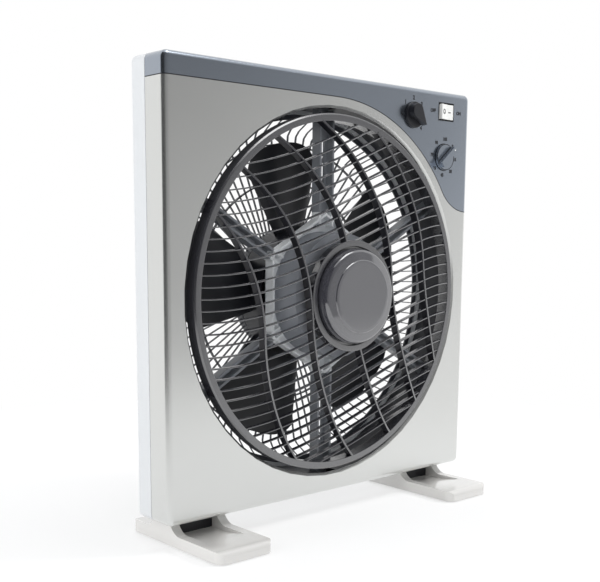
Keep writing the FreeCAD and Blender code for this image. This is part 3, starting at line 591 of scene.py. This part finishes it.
COPPER = finish_of(
    "copper_wire", (196, 120, 72), 0.3, spread=0.1, grain=1400, bump=0.1, metallic=1.0
)
BRONZE = finish_of(
    "bronze", (176, 140, 96), 0.4, spread=0.1, grain=1600, bump=0.1, metallic=1.0
)
ALUMINIUM = finish_of(
    "cast_aluminium", (196, 197, 200), 0.45, spread=0.06, grain=1000, bump=0.1, metallic=1.0
)
MARK_INK = finish_of("mark_ink", (22, 24, 30), 0.5, spread=0.05)


def vector_math(nodes, links, operation, source, operand=None):
    node = nodes.new("ShaderNodeVectorMath")
    node.operation = operation
    links.new(source, node.inputs[0])
    if operand:
        node.inputs[1].default_value = operand
    return node


def paint_light_by_radius(material, zones):
    """Paints light and shade into a finish by distance from the fan's axis. A zone is (radius it
    ends at, colour).
    """
    nodes = material.node_tree.nodes
    links = material.node_tree.links
    base = nodes["Principled BSDF"].inputs["Base Color"]
    where = nodes.new("ShaderNodeTexCoord")
    axis = (0, 0, AXIS_Z * MM)
    shift = vector_math(nodes, links, "SUBTRACT", where.outputs["Object"], axis)
    flat = vector_math(nodes, links, "MULTIPLY", shift.outputs["Vector"], (1, 0, 1))
    away = vector_math(nodes, links, "LENGTH", flat.outputs["Vector"])
    for radius, colour in reversed(zones):
        beyond = nodes.new("ShaderNodeMath")
        beyond.operation = "GREATER_THAN"
        beyond.inputs[1].default_value = radius * MM
        links.new(away.outputs["Value"], beyond.inputs[0])
        mix = nodes.new("ShaderNodeMixRGB")
        mix.inputs["Color1"].default_value = linear(*colour)
        links.new(beyond.outputs["Value"], mix.inputs["Fac"])
        links.new(base.links[0].from_socket, mix.inputs["Color2"])
        links.new(mix.outputs["Color"], base)


# Paints the can mid grey and the hexagon's rim near white, as painted light on the bracket
paint_light_by_radius(BRACKET_PAINTED_LIGHT, BRACKET_LIGHT_AND_SHADE_ZONES)


# Louvre wheel

def slat_rise(x):
    return SLAT_SLOPE * (x - x ** 3 / (3 * SLAT_LEVEL_AT ** 2))


def rib_x(start, z):
    """Rib that bends to opposite sides above and below the slat through the axis."""
    t = z - slat_rise(start)
    reach = min(abs(t), RIB_BEND_R)
    bend = RIB_BEND_R - math.sqrt(RIB_BEND_R ** 2 - reach ** 2)
    aside = reach * math.tan(math.radians(RIB_LEAN)) + bend
    return start - math.copysign(aside, t)


def dome_front(r):
    """Depth of the grille's front at a radius."""
    span = RING_IN_R - HUB_RING_R
    dome_r = (span ** 2 + GRILLE_RISE ** 2) / (2 * GRILLE_RISE)
    run = min(max(r - HUB_RING_R, 0), span)
    return GRILLE_FRONT + dome_r - math.sqrt(dome_r ** 2 - run ** 2)


def spread_across(steps):
    """Fine row of values from one side of the wheel to the other."""
    count = steps * FINE_STEPS
    return [-RING_OUT_R + 2 * RING_OUT_R * i / count for i in range(count + 1)]


def open_runs(path):
    """The stretches of a fine path between the hub ring and the rim ring, thinned out."""
    runs = []
    run = []
    for x, z in path:
        if HUB_RING_R - BAR_OVERLAP < math.hypot(x, z) < RING_IN_R + BAR_OVERLAP:
            run.append((x, z))
        elif run:
            runs.append(run)
            run = []
    if run:
        runs.append(run)
    return [r[:-1:FINE_STEPS] + [r[-1]] for r in runs if len(r) > 2]


def make_louvre():
    slats = Form()
    for k in range(-SLAT_PAIRS, SLAT_PAIRS + 1):
        level = SLAT_PHASE + k * SLAT_PITCH
        for run in open_runs([(x, level + slat_rise(x)) for x in spread_across(SLAT_STEPS)]):
            bar_along(slats, run, SLAT_THICK, SLAT_DEPTH, SLAT_SET_BACK)
    piece("louvre_slats", slats, DARK, "louvre", "dark_plastic")
    ribs = Form()
    edges = Form()
    for k in range(-RIB_PAIRS, RIB_PAIRS + 1):
        start = k * RIB_SPACING
        for run in open_runs([(rib_x(start, z), z) for z in spread_across(RIB_STEPS)]):
            # Each rib is a front edge in the louvre's own finish and a body behind it in a darker
            # copy, painted shade on the rib's sides
            bar_along(edges, run, RIB_THICK, RIB_EDGE)
            bar_along(ribs, run, RIB_THICK, GRILLE_DEPTH - RIB_EDGE, RIB_EDGE)
    piece("louvre_ribs", ribs, RIB_PAINTED_SHADE, "louvre", "dark_plastic")
    piece("louvre_rib_edges", edges, DARK, "louvre", "dark_plastic")
    rings = Form()
    out_wall = RING_OUT_R - RING_OUT_WALL
    in_wall = RING_IN_R + RING_IN_WALL
    rim = [
        (RING_IN_R, RING_FRONT, RING_ROUND),
        (RING_OUT_R - RING_CHAMFER, RING_FRONT, RING_ROUND),
        (RING_OUT_R, RING_FRONT + RING_CHAMFER, RING_ROUND),
        (RING_OUT_R, RING_BACK, RING_BACK_ROUND),
        (out_wall, RING_BACK, RING_BACK_ROUND),
        (out_wall, RING_FRONT + RING_SKIN, RING_ROUND),
        (in_wall, RING_FRONT + RING_SKIN, RING_ROUND),
        (in_wall, RING_BACK, RING_BACK_ROUND),
        (RING_IN_R, RING_BACK, RING_BACK_ROUND),
    ]
    lathe(rings, softened(rim, steps=2), RING_SIDES)
    plate_back = GRILLE_FRONT + GRILLE_DEPTH
    hub = [
        (HUB_BORE_R, GRILLE_FRONT, HUB_ROUND),
        (HUB_RING_R, GRILLE_FRONT, HUB_ROUND),
        (HUB_RING_R, plate_back, HUB_ROUND),
        (HUB_HOLE_R, plate_back, HUB_ROUND),
        (HUB_HOLE_R, plate_back - PLATE_THICK, HUB_ROUND),
        (HUB_BORE_R, plate_back - PLATE_THICK, HUB_CORNER_ROUND),
    ]
    lathe(rings, softened(hub, steps=2), HUB_SIDES)
    piece("louvre_rings", rings, DARK, "louvre", "dark_plastic", ("louvre_wheel",))


def make_cap():
    cap = Form()
    section = [
        (0.0, CAP_FRONT + CAP_DISH, 0),
        (CAP_FACE_R - CAP_FACE_EDGE, CAP_FRONT, CAP_FACE_ROUND),
        (CAP_FACE_R, CAP_FRONT + CAP_EDGE_DROP, CAP_EDGE_ROUND),
        (CAP_FACE_R + CAP_STEP_WIDTH, CAP_FRONT + CAP_STEP, CAP_STEP_ROUND),
        (CAP_R - CAP_SHOULDER_WIDTH, CAP_FRONT + CAP_SHOULDER, CAP_SHOULDER_ROUND),
        (CAP_R, CAP_FRONT + CAP_WALL_FROM, CAP_WALL_ROUND),
        (CAP_R, CAP_BACK, 0),
        (0.0, CAP_BACK, 0),
    ]
    lathe(cap, softened(section, steps=6), CAP_SIDES)
    piece(
        "louvre_cap_smooth", cap, GLOSS_DARK, "louvre", "gloss_dark_plastic", ("louvre_cap",),
        CAP_SHARP_ANGLE
    )


# Blade wheel

def blade_point(out, across, side, turn):
    """Point on a blade. out runs 0 to 1 from root to tip, across -1 to 1 from edge to edge."""
    r = BLADE_ROOT_R + (BLADE_TIP_R - BLADE_ROOT_R) * out
    span = BLADE_ROOT_SPAN + (BLADE_TIP_SPAN - BLADE_ROOT_SPAN) * out
    reach = r - BLADE_TIP_CUT * across ** BLADE_TIP_POWER * out
    travel = (BLADE_BACK - BLADE_FRONT - BLADE_THICK) / 2
    middle = (BLADE_FRONT + BLADE_BACK - BLADE_THICK) / 2
    edge = 1 - BLADE_EDGE_THINNED * abs(across) ** BLADE_EDGE_POWER
    skin = BLADE_THICK * (0.5 + (side - 0.5) * edge)
    depth = middle - across * travel - BLADE_CAMBER * (1 - across ** 2) + skin
    a = math.radians(turn + across * span / 2)
    return place(reach * math.cos(a), depth, AXIS_Z + reach * math.sin(a))


def make_blades():
    wheel = Form()
    across = [2 * j / BLADE_COLUMNS - 1 for j in range(BLADE_COLUMNS + 1)]
    for k in range(BLADE_COUNT):
        turn = BLADE_FIRST + 360 / BLADE_COUNT * k
        rings = []
        for i in range(BLADE_ROWS + 1):
            out = i / BLADE_ROWS
            front = [blade_point(out, t, 0, turn) for t in across]
            back = [blade_point(out, t, 1, turn) for t in reversed(across)]
            rings.append(front + back)
        loft(wheel, rings)
    inner = BLADE_HUB_R - BLADE_HUB_WALL
    plate = BLADE_BACK - BLADE_HUB_WALL
    hub = [
        (BLADE_BORE_R, BLADE_BACK, BLADE_BORE_ROUND),
        (BLADE_HUB_R, BLADE_BACK, BLADE_HUB_ROUND),
        (BLADE_HUB_R, HUB_FRONT, BLADE_LIP_ROUND),
        (inner, HUB_FRONT, BLADE_LIP_ROUND),
        (inner, plate, BLADE_HUB_ROUND),
        (BLADE_BORE_R, plate, BLADE_BORE_ROUND),
    ]
    lathe(wheel, softened(hub, steps=4), BLADE_HUB_SIDES)
    piece(
        "fan_blades_smooth", wheel, BLACK, "fan", "black_plastic", ("fan_blades",),
        BLADE_SHARP_ANGLE
    )


# Rear guard

def fin_back(r):
    """Depth of a fin's back edge at a radius."""
    for (r0, d0), (r1, d1) in zip(GUARD_FIN_LINE, GUARD_FIN_LINE[1:]):
        if r0 <= r <= r1:
            return d0 + (d1 - d0) * (r - r0) / (r1 - r0)
    return GUARD_FIN_LINE[-1][1]


def make_guard():
    guard = Form()
    # Across a fin: share of half its thickness, and how far in from its back edge
    fin_section = (
        (-1, 0.0),
        (-GUARD_FIN_TAPER, GUARD_FIN_DEPTH),
        (GUARD_FIN_TAPER, GUARD_FIN_DEPTH),
        (1, 0.0),
    )
    for k in range(GUARD_FINS):
        a = 2 * math.pi * (k + 0.5) / GUARD_FINS
        out = Vector((math.cos(a), math.sin(a)))
        aside = Vector((-math.sin(a), math.cos(a))) * GUARD_FIN_THICK / 2
        rings = []
        for r, back in GUARD_FIN_LINE:
            ring = []
            for side, inward in fin_section:
                spot = out * r + aside * side
                ring.append(place(spot.x, back - inward, AXIS_Z + spot.y))
            rings.append(ring)
        loft(guard, rings)
    flange = [
        (GUARD_RIM_R, BACK_WALL, GUARD_EDGE_ROUND),
        (GUARD_FLANGE_R, BACK_WALL, GUARD_EDGE_ROUND),
        (GUARD_FLANGE_R, BACK_WALL + GUARD_WALL, GUARD_BACK_ROUND),
        (GUARD_RIM_R, BACK_WALL + GUARD_WALL, GUARD_BACK_ROUND),
    ]
    lathe(guard, softened(flange, steps=3), GUARD_SIDES)
    cup = [
        (CUP_R - GUARD_WALL, CUP_FRONT, GUARD_EDGE_ROUND),
        (CUP_R, CUP_FRONT, GUARD_EDGE_ROUND),
        (CUP_R, CUP_BACK, CUP_EDGE),
        (0.0, CUP_BACK, 0),
        (0.0, CUP_BACK - GUARD_WALL, 0),
        (CUP_R - GUARD_WALL, CUP_BACK - GUARD_WALL, CUP_EDGE),
    ]
    lathe(guard, softened(cup, steps=6), CUP_SIDES)
    for r in GUARD_HOOPS:
        back = fin_back(r) - HOOP_SET_IN
        half = HOOP_WIDTH / 2
        hoop = oblong(r - half, r + half, back - HOOP_DEPTH, back)
        lathe(guard, softened(hoop, steps=2, radius=HOOP_ROUND), GUARD_SIDES)
    # The fins' dark finish is painted shade on the guard's plastic
    piece("rear_guard_fins", guard, GUARD_PAINTED_SHADE, "housing", "pale_plastic", ("rear_guard",))


# Controls and marks

def tree_of(node):
    work = node_mesh(node)
    tree = BVHTree.FromBMesh(work)
    work.free()
    return tree


def front_depth(tree, x, z):
    """Depth of a node's front surface at x, z."""
    return depth_of(tree.ray_cast(place(x, RAY_START, z), Vector((0, 1, 0)))[0].y)


def mark(name, words, x, z, height, body="housing", ground=None):
    """Printed figure centred at x, z, on the panel or on the front of the node named as ground."""
    curve = bpy.data.curves.new(name, "FONT")
    curve.body = words
    curve.size = height * FONT_SIZE_PER_HEIGHT * MM
    curve.align_x = "CENTER"
    curve.align_y = "CENTER"
    curve.extrude = MARK_THICK * MM
    curve.offset = MARK_WEIGHT * MM
    text = bpy.data.objects.new(name + "_text", curve)
    bpy.context.scene.collection.objects.link(text)
    bpy.context.view_layer.update()
    evaluated = text.evaluated_get(bpy.context.evaluated_depsgraph_get())
    mesh = bpy.data.meshes.new_from_object(evaluated)
    bpy.data.objects.remove(text)
    upright = Matrix.Rotation(math.pi / 2, 4, "X")
    mesh.transform(Matrix.Translation(place(x, -MARK_LIFT, z)) @ upright)
    if ground:
        tree = tree_of(ground)
        for vertex in mesh.vertices:
            vertex.co.y += front_depth(tree, vertex.co.x / MM, vertex.co.z / MM) * MM
    finish_piece(name, mesh, MARK_INK, body, "black_plastic", (), MARK_SHARP_ANGLE)


def marks_round(prefix, at, radius, height, marks):
    """Marks on a circle about a knob. marks gives each figure's angle."""
    for word, angle in marks.items():
        a = math.radians(angle)
        x = at.x + radius * math.cos(a)
        z = at.z + radius * math.sin(a)
        mark(prefix + word, word, x, z, height)


def make_marks():
    marks_round("speed_mark_", SPEED_AT, SPEED_MARK_R, MARK_HEIGHT, SPEED_MARKS)
    marks_round("timer_mark_", TIMER_AT, TIMER_MARK_R, TIMER_MARK_HEIGHT, TIMER_MARKS)
    x, z = ROCKER_AT.x, ROCKER_AT.z
    for name, word, aside in ROCKER_MARKS:
        mark(name, word, x + aside, z, ROCKER_MARK_HEIGHT, "rocker", "louvre_rocker")
    for name, word, aside in ROCKER_WORDS:
        mark(name, word, x + aside, z, TIMER_MARK_HEIGHT)


def pointer_outline(inset):
    """Outline of the speed knob's grip, from its nose round a circle, about the knob's axis."""
    nose = Vector(GRIP_NOSE)
    middle = Vector(GRIP_CENTRE)
    reach = (nose - middle).length
    ahead = math.atan2(nose.y - middle.y, nose.x - middle.x)
    swing = math.acos(GRIP_R / reach)
    points = [middle + (nose - middle) * (1 - inset / reach * GRIP_NOSE_INSET)]
    for k in range(GRIP_STEPS + 1):
        a = ahead + swing + (2 * math.pi - 2 * swing) * k / GRIP_STEPS
        points.append(middle + Vector((math.cos(a), math.sin(a))) * (GRIP_R - inset))
    return points


def make_speed_knob():
    knob = Form()
    x, z = SPEED_AT.x, SPEED_AT.z
    spindle_back = node_depths("speed_knob")[1]
    skirt = [
        (0.0, -SKIRT_THICK, 0),
        (SKIRT_R - SKIRT_DRAFT, -SKIRT_THICK, SKIRT_ROUND),
        (SKIRT_R, -SKIRT_GAP, SKIRT_FOOT_ROUND),
        (SPINDLE_R, -SKIRT_GAP, 0),
        (SPINDLE_R, spindle_back, 0),
        (0.0, spindle_back, 0),
    ]
    lathe(knob, softened(skirt, steps=4), SKIRT_SIDES, x, z)
    rings = []
    for inset, depth in GRIP_OUTLINES:
        rings.append([place(x + p.x, depth, z + p.y) for p in pointer_outline(inset)])
    loft(knob, rings)
    piece(
        "speed_knob_smooth", knob, BLACK, "speed_dial", "black_plastic", ("speed_knob",),
        KNOB_SHARP_ANGLE
    )


def make_dial_shade_and_glint():
    """Painted shadow lines round the timer's disc and its bar, and a white dot at the end of the
    bar as a painted highlight.
    """
    x, z = TIMER_AT.x, TIMER_AT.z
    zero = math.radians(TIMER_ZERO)
    ahead = Vector((math.cos(zero), math.sin(zero)))
    aside = Vector((-ahead.y, ahead.x))
    beside = aside * TIMER_DISC_AT
    disc_front = front_depth(tree_of("timer_knob"), x + beside.x, z + beside.y)
    lines = Form()
    w = TIMER_SHADOW_WIDTH
    for ground, inner in ((disc_front, TIMER_SHADOW_R - w), (0.0, TIMER_SHADOW_R)):
        ink_ring(lines, inner, inner + w, ground, TIMER_SHADOW_SIDES, x, z)
    half_long, half_wide = TIMER_SEAT_SHADOW_HALF
    corners = []
    for a, b in oblong(-half_long, half_long, -half_wide, half_wide):
        spot = ahead * a + aside * b
        corners.append((x + spot.x, z + spot.y))
    slab(lines, corners, disc_front - INK_THICK, disc_front)
    piece("timer_shadow_lines", lines, MARK_INK, "timer_dial", "black_plastic")
    # White dot at the bar's end as a painted highlight on its tip
    tip = ahead * TIMER_GLINT_AT
    bar_front = node_depths("timer_knob")[0]
    dot = Form()
    ink_ring(dot, 0.0, TIMER_GLINT_R, bar_front, TIMER_GLINT_SIDES, x + tip.x, z + tip.y)
    piece("timer_glint_dot", dot, WHITE, "timer_dial", "white_plastic")


def make_rocker_shadow():
    """Painted shadow line on the panel round the rocker's hole, as the shade in the gap round the
    rocker.
    """
    line = Form()
    x, z = ROCKER_AT.x, ROCKER_AT.z
    half_x, half_z = ROCKER_HOLE_HALF
    w = ROCKER_SHADOW_WIDTH
    strips = (
        (-half_x - w, half_x + w, half_z, half_z + w),
        (-half_x - w, half_x + w, -half_z - w, -half_z),
        (-half_x - w, -half_x, -half_z, half_z),
        (half_x, half_x + w, -half_z, half_z),
    )
    for x0, x1, z0, z1 in strips:
        slab(line, oblong(x + x0, x + x1, z + z0, z + z1), -INK_THICK, 0.0)
    piece("rocker_shadow_line", line, MARK_INK, "housing", "black_plastic")


def make_trim_shadow():
    """Painted shadow line along the joint where the panel's lower edge meets the front shell."""
    low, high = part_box("control_panel")
    work = node_mesh("control_panel")
    bmesh.ops.remove_doubles(work, verts=work.verts, dist=WELD)
    work.normal_update()

    def is_shown(face):
        reach = SIDE_REACH * MM
        on_side = all(min(v.co.x - low.x, high.x - v.co.x) < reach for v in face.verts)
        return face.normal.y < -TURNED_TO or (abs(face.normal.x) > SQUARE_TO and on_side)

    def is_joint(face):
        faces_down = min(face.normal.x, face.normal.z) < -TURNED_TO
        return abs(face.normal.y) < EDGEWAYS_TO and faces_down

    def is_hole(edge):
        middle = (edge.verts[0].co + edge.verts[1].co) / 2 / MM
        controls = (SPEED_AT, TIMER_AT, ROCKER_AT)
        away = min(math.hypot(middle.x - at.x, middle.z - at.z) for at in controls)
        return away < PANEL_HOLES_R

    line = Form()
    for edge in work.edges:
        if len(edge.link_faces) != 2 or is_hole(edge):
            continue
        for shown, joint in (edge.link_faces, reversed(edge.link_faces)):
            if not (is_shown(shown) and is_joint(joint)):
                continue
            if shown.normal.dot(joint.normal) > JOINT_CORNER:
                continue
            start, end = [v.co.copy() for v in edge.verts]
            along = (end - start).normalized()
            across = along.cross(shown.normal) * TRIM_SHADOW_WIDTH / 2 * MM
            strip = (start - across, end - across, end + across, start + across)
            lift = shown.normal * TRIM_SHADOW_THICK * MM
            loft(line, [strip, [corner + lift for corner in strip]])
    work.free()
    piece("trim_shadow_line", line, MARK_INK, "housing", "black_plastic")


def make_recess_shades():
    """Black plate as painted shade at the back of the recess in each foot, under the housing."""
    for side in ("left", "right"):
        low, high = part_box(side + "_foot")
        middle = (low.x + high.x) / 2 / MM
        plate = Form()
        corners = oblong(middle - RECESS_HALF, middle + RECESS_HALF, RECESS_LOW, RECESS_HIGH)
        slab(plate, corners, RECESS_DEPTH, RECESS_DEPTH + RECESS_THICK)
        piece(side + "_foot_recess_shade", plate, BLACK, "housing", "black_plastic")


# CAD nodes that keep their own shape with rounded edges: finish, body, slot and edge width
ROUNDED = (
    ("front_shell", SILVER, "housing", "silver_plastic", 0.45),
    ("control_panel", SLATE, "housing", "slate_plastic", 0.45),
    ("rear_shell", PALE, "housing", "pale_plastic", 0.6),
    ("air_duct", DUCT_DARK, "housing", "dark_plastic", 0.3),
    ("front_spider", BRACKET_PAINTED_LIGHT, "housing", "pale_plastic", 0.5),
    ("left_foot", FOOT_PALE, "housing", "pale_plastic", 2.2),
    ("right_foot", FOOT_PALE, "housing", "pale_plastic", 2.2),
    ("foot_pads", RUBBER, "housing", "rubber", 0.25),
    ("timer_knob", SLATE, "timer_dial", "slate_plastic", 0.4),
    ("louvre_rocker", WHITE, "rocker", "white_plastic", 0.4),
    ("louvre_switch", BLACK, "housing", "black_plastic", 0.3),
    ("cord_inlet", BLACK, "housing", "black_plastic", 0.4),
)
# CAD nodes inside the housing that only get a finish
PLAIN = {
    "louvre_motor": STEEL,
    "louvre_shaft": STEEL,
    "stator_core": CORE_STEEL,
    "stator_windings": COPPER,
    "motor_front_bracket": ALUMINIUM,
    "motor_rear_bracket": ALUMINIUM,
    "motor_bearings": BRONZE,
    "motor_rotor": CORE_STEEL,
    "motor_shaft": STEEL,
    "blade_nut": BLACK,
    "speed_switch": BLACK,
    "timer_unit": WHITE,
    "run_capacitor": WHITE,
}


def dress_nodes():
    for node, material, body, slot, width in ROUNDED:
        rounded_node(node, material, body, slot, width)
    for node, material in PLAIN.items():
        mesh = NODES[node].data
        mesh.materials.clear()
        mesh.materials.append(material)
        smooth(mesh, PLAIN_SHARP_ANGLE)


# Floor, light and camera, in metres and degrees
FLOOR_HALF = 12.0
FLOOR_TONE = 0.88
FLOOR_SHOWN_TONE = 0.42
FLOOR_GLOW = 0.57
FLOOR_SHADE_FROM = 0.3
FLOOR_SHADE_TO = 0.7
WORLD_LIGHT = 0.4
WORLD_TINT = (0.94, 0.97, 1.0, 1)
ROOM_R = 0.9
ROOM_BEND = -60.0
ROOM_SPREAD = 0.09
ROOM_FROM = -200.0
ROOM_TO = -36.0
ROOM_STEPS = 40
ROOM_LOW = 0.0
ROOM_HIGH = 2.0
# Angle about the vertical, and how bright the wall is there
ROOM_TONES = (
    (-180.0, 0.02), (-152.0, 0.02), (-128.0, 0.3), (-58.0, 0.48), (-46.0, 0.74), (-36.0, 0.62),
    (160.0, 0.02), (180.0, 0.02),
)
ROOM_DIM_FROM = 0.3
ROOM_DIM_TO = 0.6
ROOM_DIM = 0.64
# Name, place, aim, size, power, seen in reflections
LAMPS = (
    ("key", (0.75, -0.55, 0.95), (0.1, 0.0, 0.3), 0.3, 6.0, False),
    ("left", (-1.8, 0.3, 0.7), (-0.18, 0.0, 0.2), 1.6, 17.0, False),
    ("top", (0.3, -0.4, 1.9), (0.0, 0.0, 0.2), 0.9, 9.0, True),
    ("fill", (-0.9, -1.0, 1.0), (0.0, 0.0, 0.2), 1.3, 5.5, False),
    ("back", (0.6, 1.6, 1.2), (0.0, 0.0, 0.2), 1.2, 16.0, False),
)


def grey(tone):
    return tone, tone, tone, 1


def cleared_tree(owner):
    """Empties the node tree of a material or a world."""
    owner.use_nodes = True
    owner.node_tree.nodes.clear()
    return owner.node_tree.nodes, owner.node_tree.links


def stage_object(name, points, faces, material):
    mesh = bpy.data.meshes.new(name)
    mesh.from_pydata(points, [], faces)
    mesh.materials.append(material)
    obj = bpy.data.objects.new(name, mesh)
    bpy.context.scene.collection.objects.link(obj)
    return obj


def diffuse(nodes, tone):
    shader = nodes.new("ShaderNodeBsdfDiffuse")
    shader.inputs["Color"].default_value = grey(tone)
    return shader


def emission(nodes, strength):
    shader = nodes.new("ShaderNodeEmission")
    shader.inputs["Strength"].default_value = strength
    return shader


def mixed(nodes, links, share, first, second):
    """Shader that goes from first to second as share goes from 0 to 1."""
    mix = nodes.new("ShaderNodeMixShader")
    links.new(share, mix.inputs[0])
    links.new(first.outputs[0], mix.inputs[1])
    links.new(second.outputs[0], mix.inputs[2])
    return mix


def background_mask(nodes, links):
    """1 for rays that show the background: straight from the camera, mirrored or let through."""
    path = nodes.new("ShaderNodeLightPath")
    total = path.outputs["Is Camera Ray"]
    for name in ("Is Glossy Ray", "Is Transmission Ray"):
        most = nodes.new("ShaderNodeMath")
        most.operation = "MAXIMUM"
        links.new(total, most.inputs[0])
        links.new(path.outputs[name], most.inputs[1])
        total = most.outputs[0]
    return total


def make_floor():
    """Pale floor that keeps the shadow near the object and turns plain white farther out."""
    material = bpy.data.materials.new("floor_paper")
    nodes, links = cleared_tree(material)
    near = nodes.new("ShaderNodeAddShader")
    links.new(diffuse(nodes, FLOOR_SHOWN_TONE).outputs[0], near.inputs[0])
    links.new(emission(nodes, FLOOR_GLOW).outputs[0], near.inputs[1])
    far = emission(nodes, 1.0)
    where = nodes.new("ShaderNodeNewGeometry")
    away = vector_math(nodes, links, "LENGTH", where.outputs["Position"])
    fade = nodes.new("ShaderNodeMapRange")
    fade.inputs["From Min"].default_value = FLOOR_SHADE_FROM
    fade.inputs["From Max"].default_value = FLOOR_SHADE_TO
    links.new(away.outputs["Value"], fade.inputs["Value"])
    shown = mixed(nodes, links, fade.outputs["Result"], near, far)
    plain = diffuse(nodes, FLOOR_TONE)
    surface = mixed(nodes, links, background_mask(nodes, links), plain, shown)
    out = nodes.new("ShaderNodeOutputMaterial")
    links.new(surface.outputs[0], out.inputs["Surface"])
    h = FLOOR_HALF
    points = [(-h, -h, 0), (h, -h, 0), (h, h, 0), (-h, h, 0)]
    floor = stage_object("floor", points, [(0, 1, 2, 3)], material)


def make_world():
    world = bpy.data.worlds.new("studio")
    bpy.context.scene.world = world
    nodes, links = cleared_tree(world)
    light = nodes.new("ShaderNodeBackground")
    light.inputs["Color"].default_value = WORLD_TINT
    light.inputs["Strength"].default_value = WORLD_LIGHT
    white = nodes.new("ShaderNodeBackground")
    white.inputs["Color"].default_value = grey(1)
    white.inputs["Strength"].default_value = 1.0
    surface = mixed(nodes, links, background_mask(nodes, links), light, white)
    out = nodes.new("ShaderNodeOutputWorld")
    links.new(surface.outputs[0], out.inputs["Surface"])


def make_room_wall():
    """Dim studio wall behind the camera, seen only in reflections."""
    points = []
    for k in range(ROOM_STEPS + 1):
        angle = ROOM_FROM + (ROOM_TO - ROOM_FROM) * k / ROOM_STEPS
        r = ROOM_R + max(0.0, angle - ROOM_BEND) * ROOM_SPREAD
        a = math.radians(angle)
        for z in (ROOM_LOW, ROOM_HIGH):
            points.append((r * math.cos(a), r * math.sin(a), z))
    faces = [(2 * k, 2 * k + 2, 2 * k + 3, 2 * k + 1) for k in range(ROOM_STEPS)]
    material = bpy.data.materials.new("room_grey")
    nodes, links = cleared_tree(material)
    where = nodes.new("ShaderNodeTexCoord")
    around = nodes.new("ShaderNodeTexGradient")
    around.gradient_type = "RADIAL"
    links.new(where.outputs["Object"], around.inputs["Vector"])
    ramp = nodes.new("ShaderNodeValToRGB")
    while len(ramp.color_ramp.elements) < len(ROOM_TONES):
        ramp.color_ramp.elements.new(0.5)
    # The gradient runs from 0 to 1 over a full turn, with 0.5 along X
    for element, (angle, tone) in zip(ramp.color_ramp.elements, ROOM_TONES):
        element.position = 0.5 + angle / 360
        element.color = grey(tone)
    links.new(around.outputs["Fac"], ramp.inputs["Fac"])
    shine = nodes.new("ShaderNodeEmission")
    links.new(ramp.outputs["Color"], shine.inputs["Color"])
    split = nodes.new("ShaderNodeSeparateXYZ")
    links.new(where.outputs["Object"], split.inputs[0])
    dim = nodes.new("ShaderNodeMapRange")
    dim.inputs["From Min"].default_value = ROOM_DIM_FROM
    dim.inputs["From Max"].default_value = ROOM_DIM_TO
    dim.inputs["To Min"].default_value = 1.0
    dim.inputs["To Max"].default_value = ROOM_DIM
    links.new(split.outputs["Z"], dim.inputs["Value"])
    links.new(dim.outputs["Result"], shine.inputs["Strength"])
    out = nodes.new("ShaderNodeOutputMaterial")
    links.new(shine.outputs[0], out.inputs["Surface"])
    wall = stage_object("room_wall", points, faces, material)
    wall.visible_camera = False
    wall.visible_diffuse = False
    wall.visible_shadow = False
    wall.visible_transmission = False


def make_lamps():
    for name, spot, aim, size, power, mirrored in LAMPS:
        data = bpy.data.lights.new(name, "AREA")
        data.shape = "SQUARE"
        data.size = size
        data.energy = power
        lamp = bpy.data.objects.new(name, data)
        lamp.location = spot
        lamp.visible_glossy = mirrored
        lamp.rotation_mode = "QUATERNION"
        lamp.rotation_quaternion = (Vector(aim) - Vector(spot)).to_track_quat("-Z", "Y")
        bpy.context.scene.collection.objects.link(lamp)


def make_camera():
    azimuth = math.radians(CAMERA_AZIMUTH)
    pitch = math.radians(CAMERA_PITCH)
    roll = math.radians(CAMERA_ROLL)
    heading = Vector((math.sin(azimuth), math.cos(azimuth), 0))
    ahead = heading * math.cos(pitch) - Vector((0, 0, math.sin(pitch)))
    level = Vector((math.cos(azimuth), -math.sin(azimuth), 0))
    up = level.cross(ahead)
    right = level * math.cos(roll) + up * math.sin(roll)
    top = up * math.cos(roll) - level * math.sin(roll)
    data = bpy.data.cameras.new("camera")
    data.sensor_width = SENSOR
    data.lens = FOCAL_PIXELS * SENSOR / PHOTO_WIDTH
    data.shift_y = DROP_PIXELS / PHOTO_WIDTH
    data.clip_start = CLIP_START
    data.clip_end = CLIP_END
    camera = bpy.data.objects.new("camera", data)
    turn = Matrix((right, top, -ahead)).transposed().to_4x4()
    camera.matrix_world = Matrix.Translation(CAMERA_AT) @ turn
    bpy.context.scene.collection.objects.link(camera)
    bpy.context.scene.camera = camera


make_louvre()
make_cap()
make_blades()
make_guard()
make_marks()
make_speed_knob()
make_dial_shade_and_glint()
make_rocker_shadow()
make_trim_shadow()
make_recess_shades()
dress_nodes()
make_floor()
make_world()
make_room_wall()
make_lamps()
make_camera()
bpy.context.scene.view_settings.view_transform = "Standard"
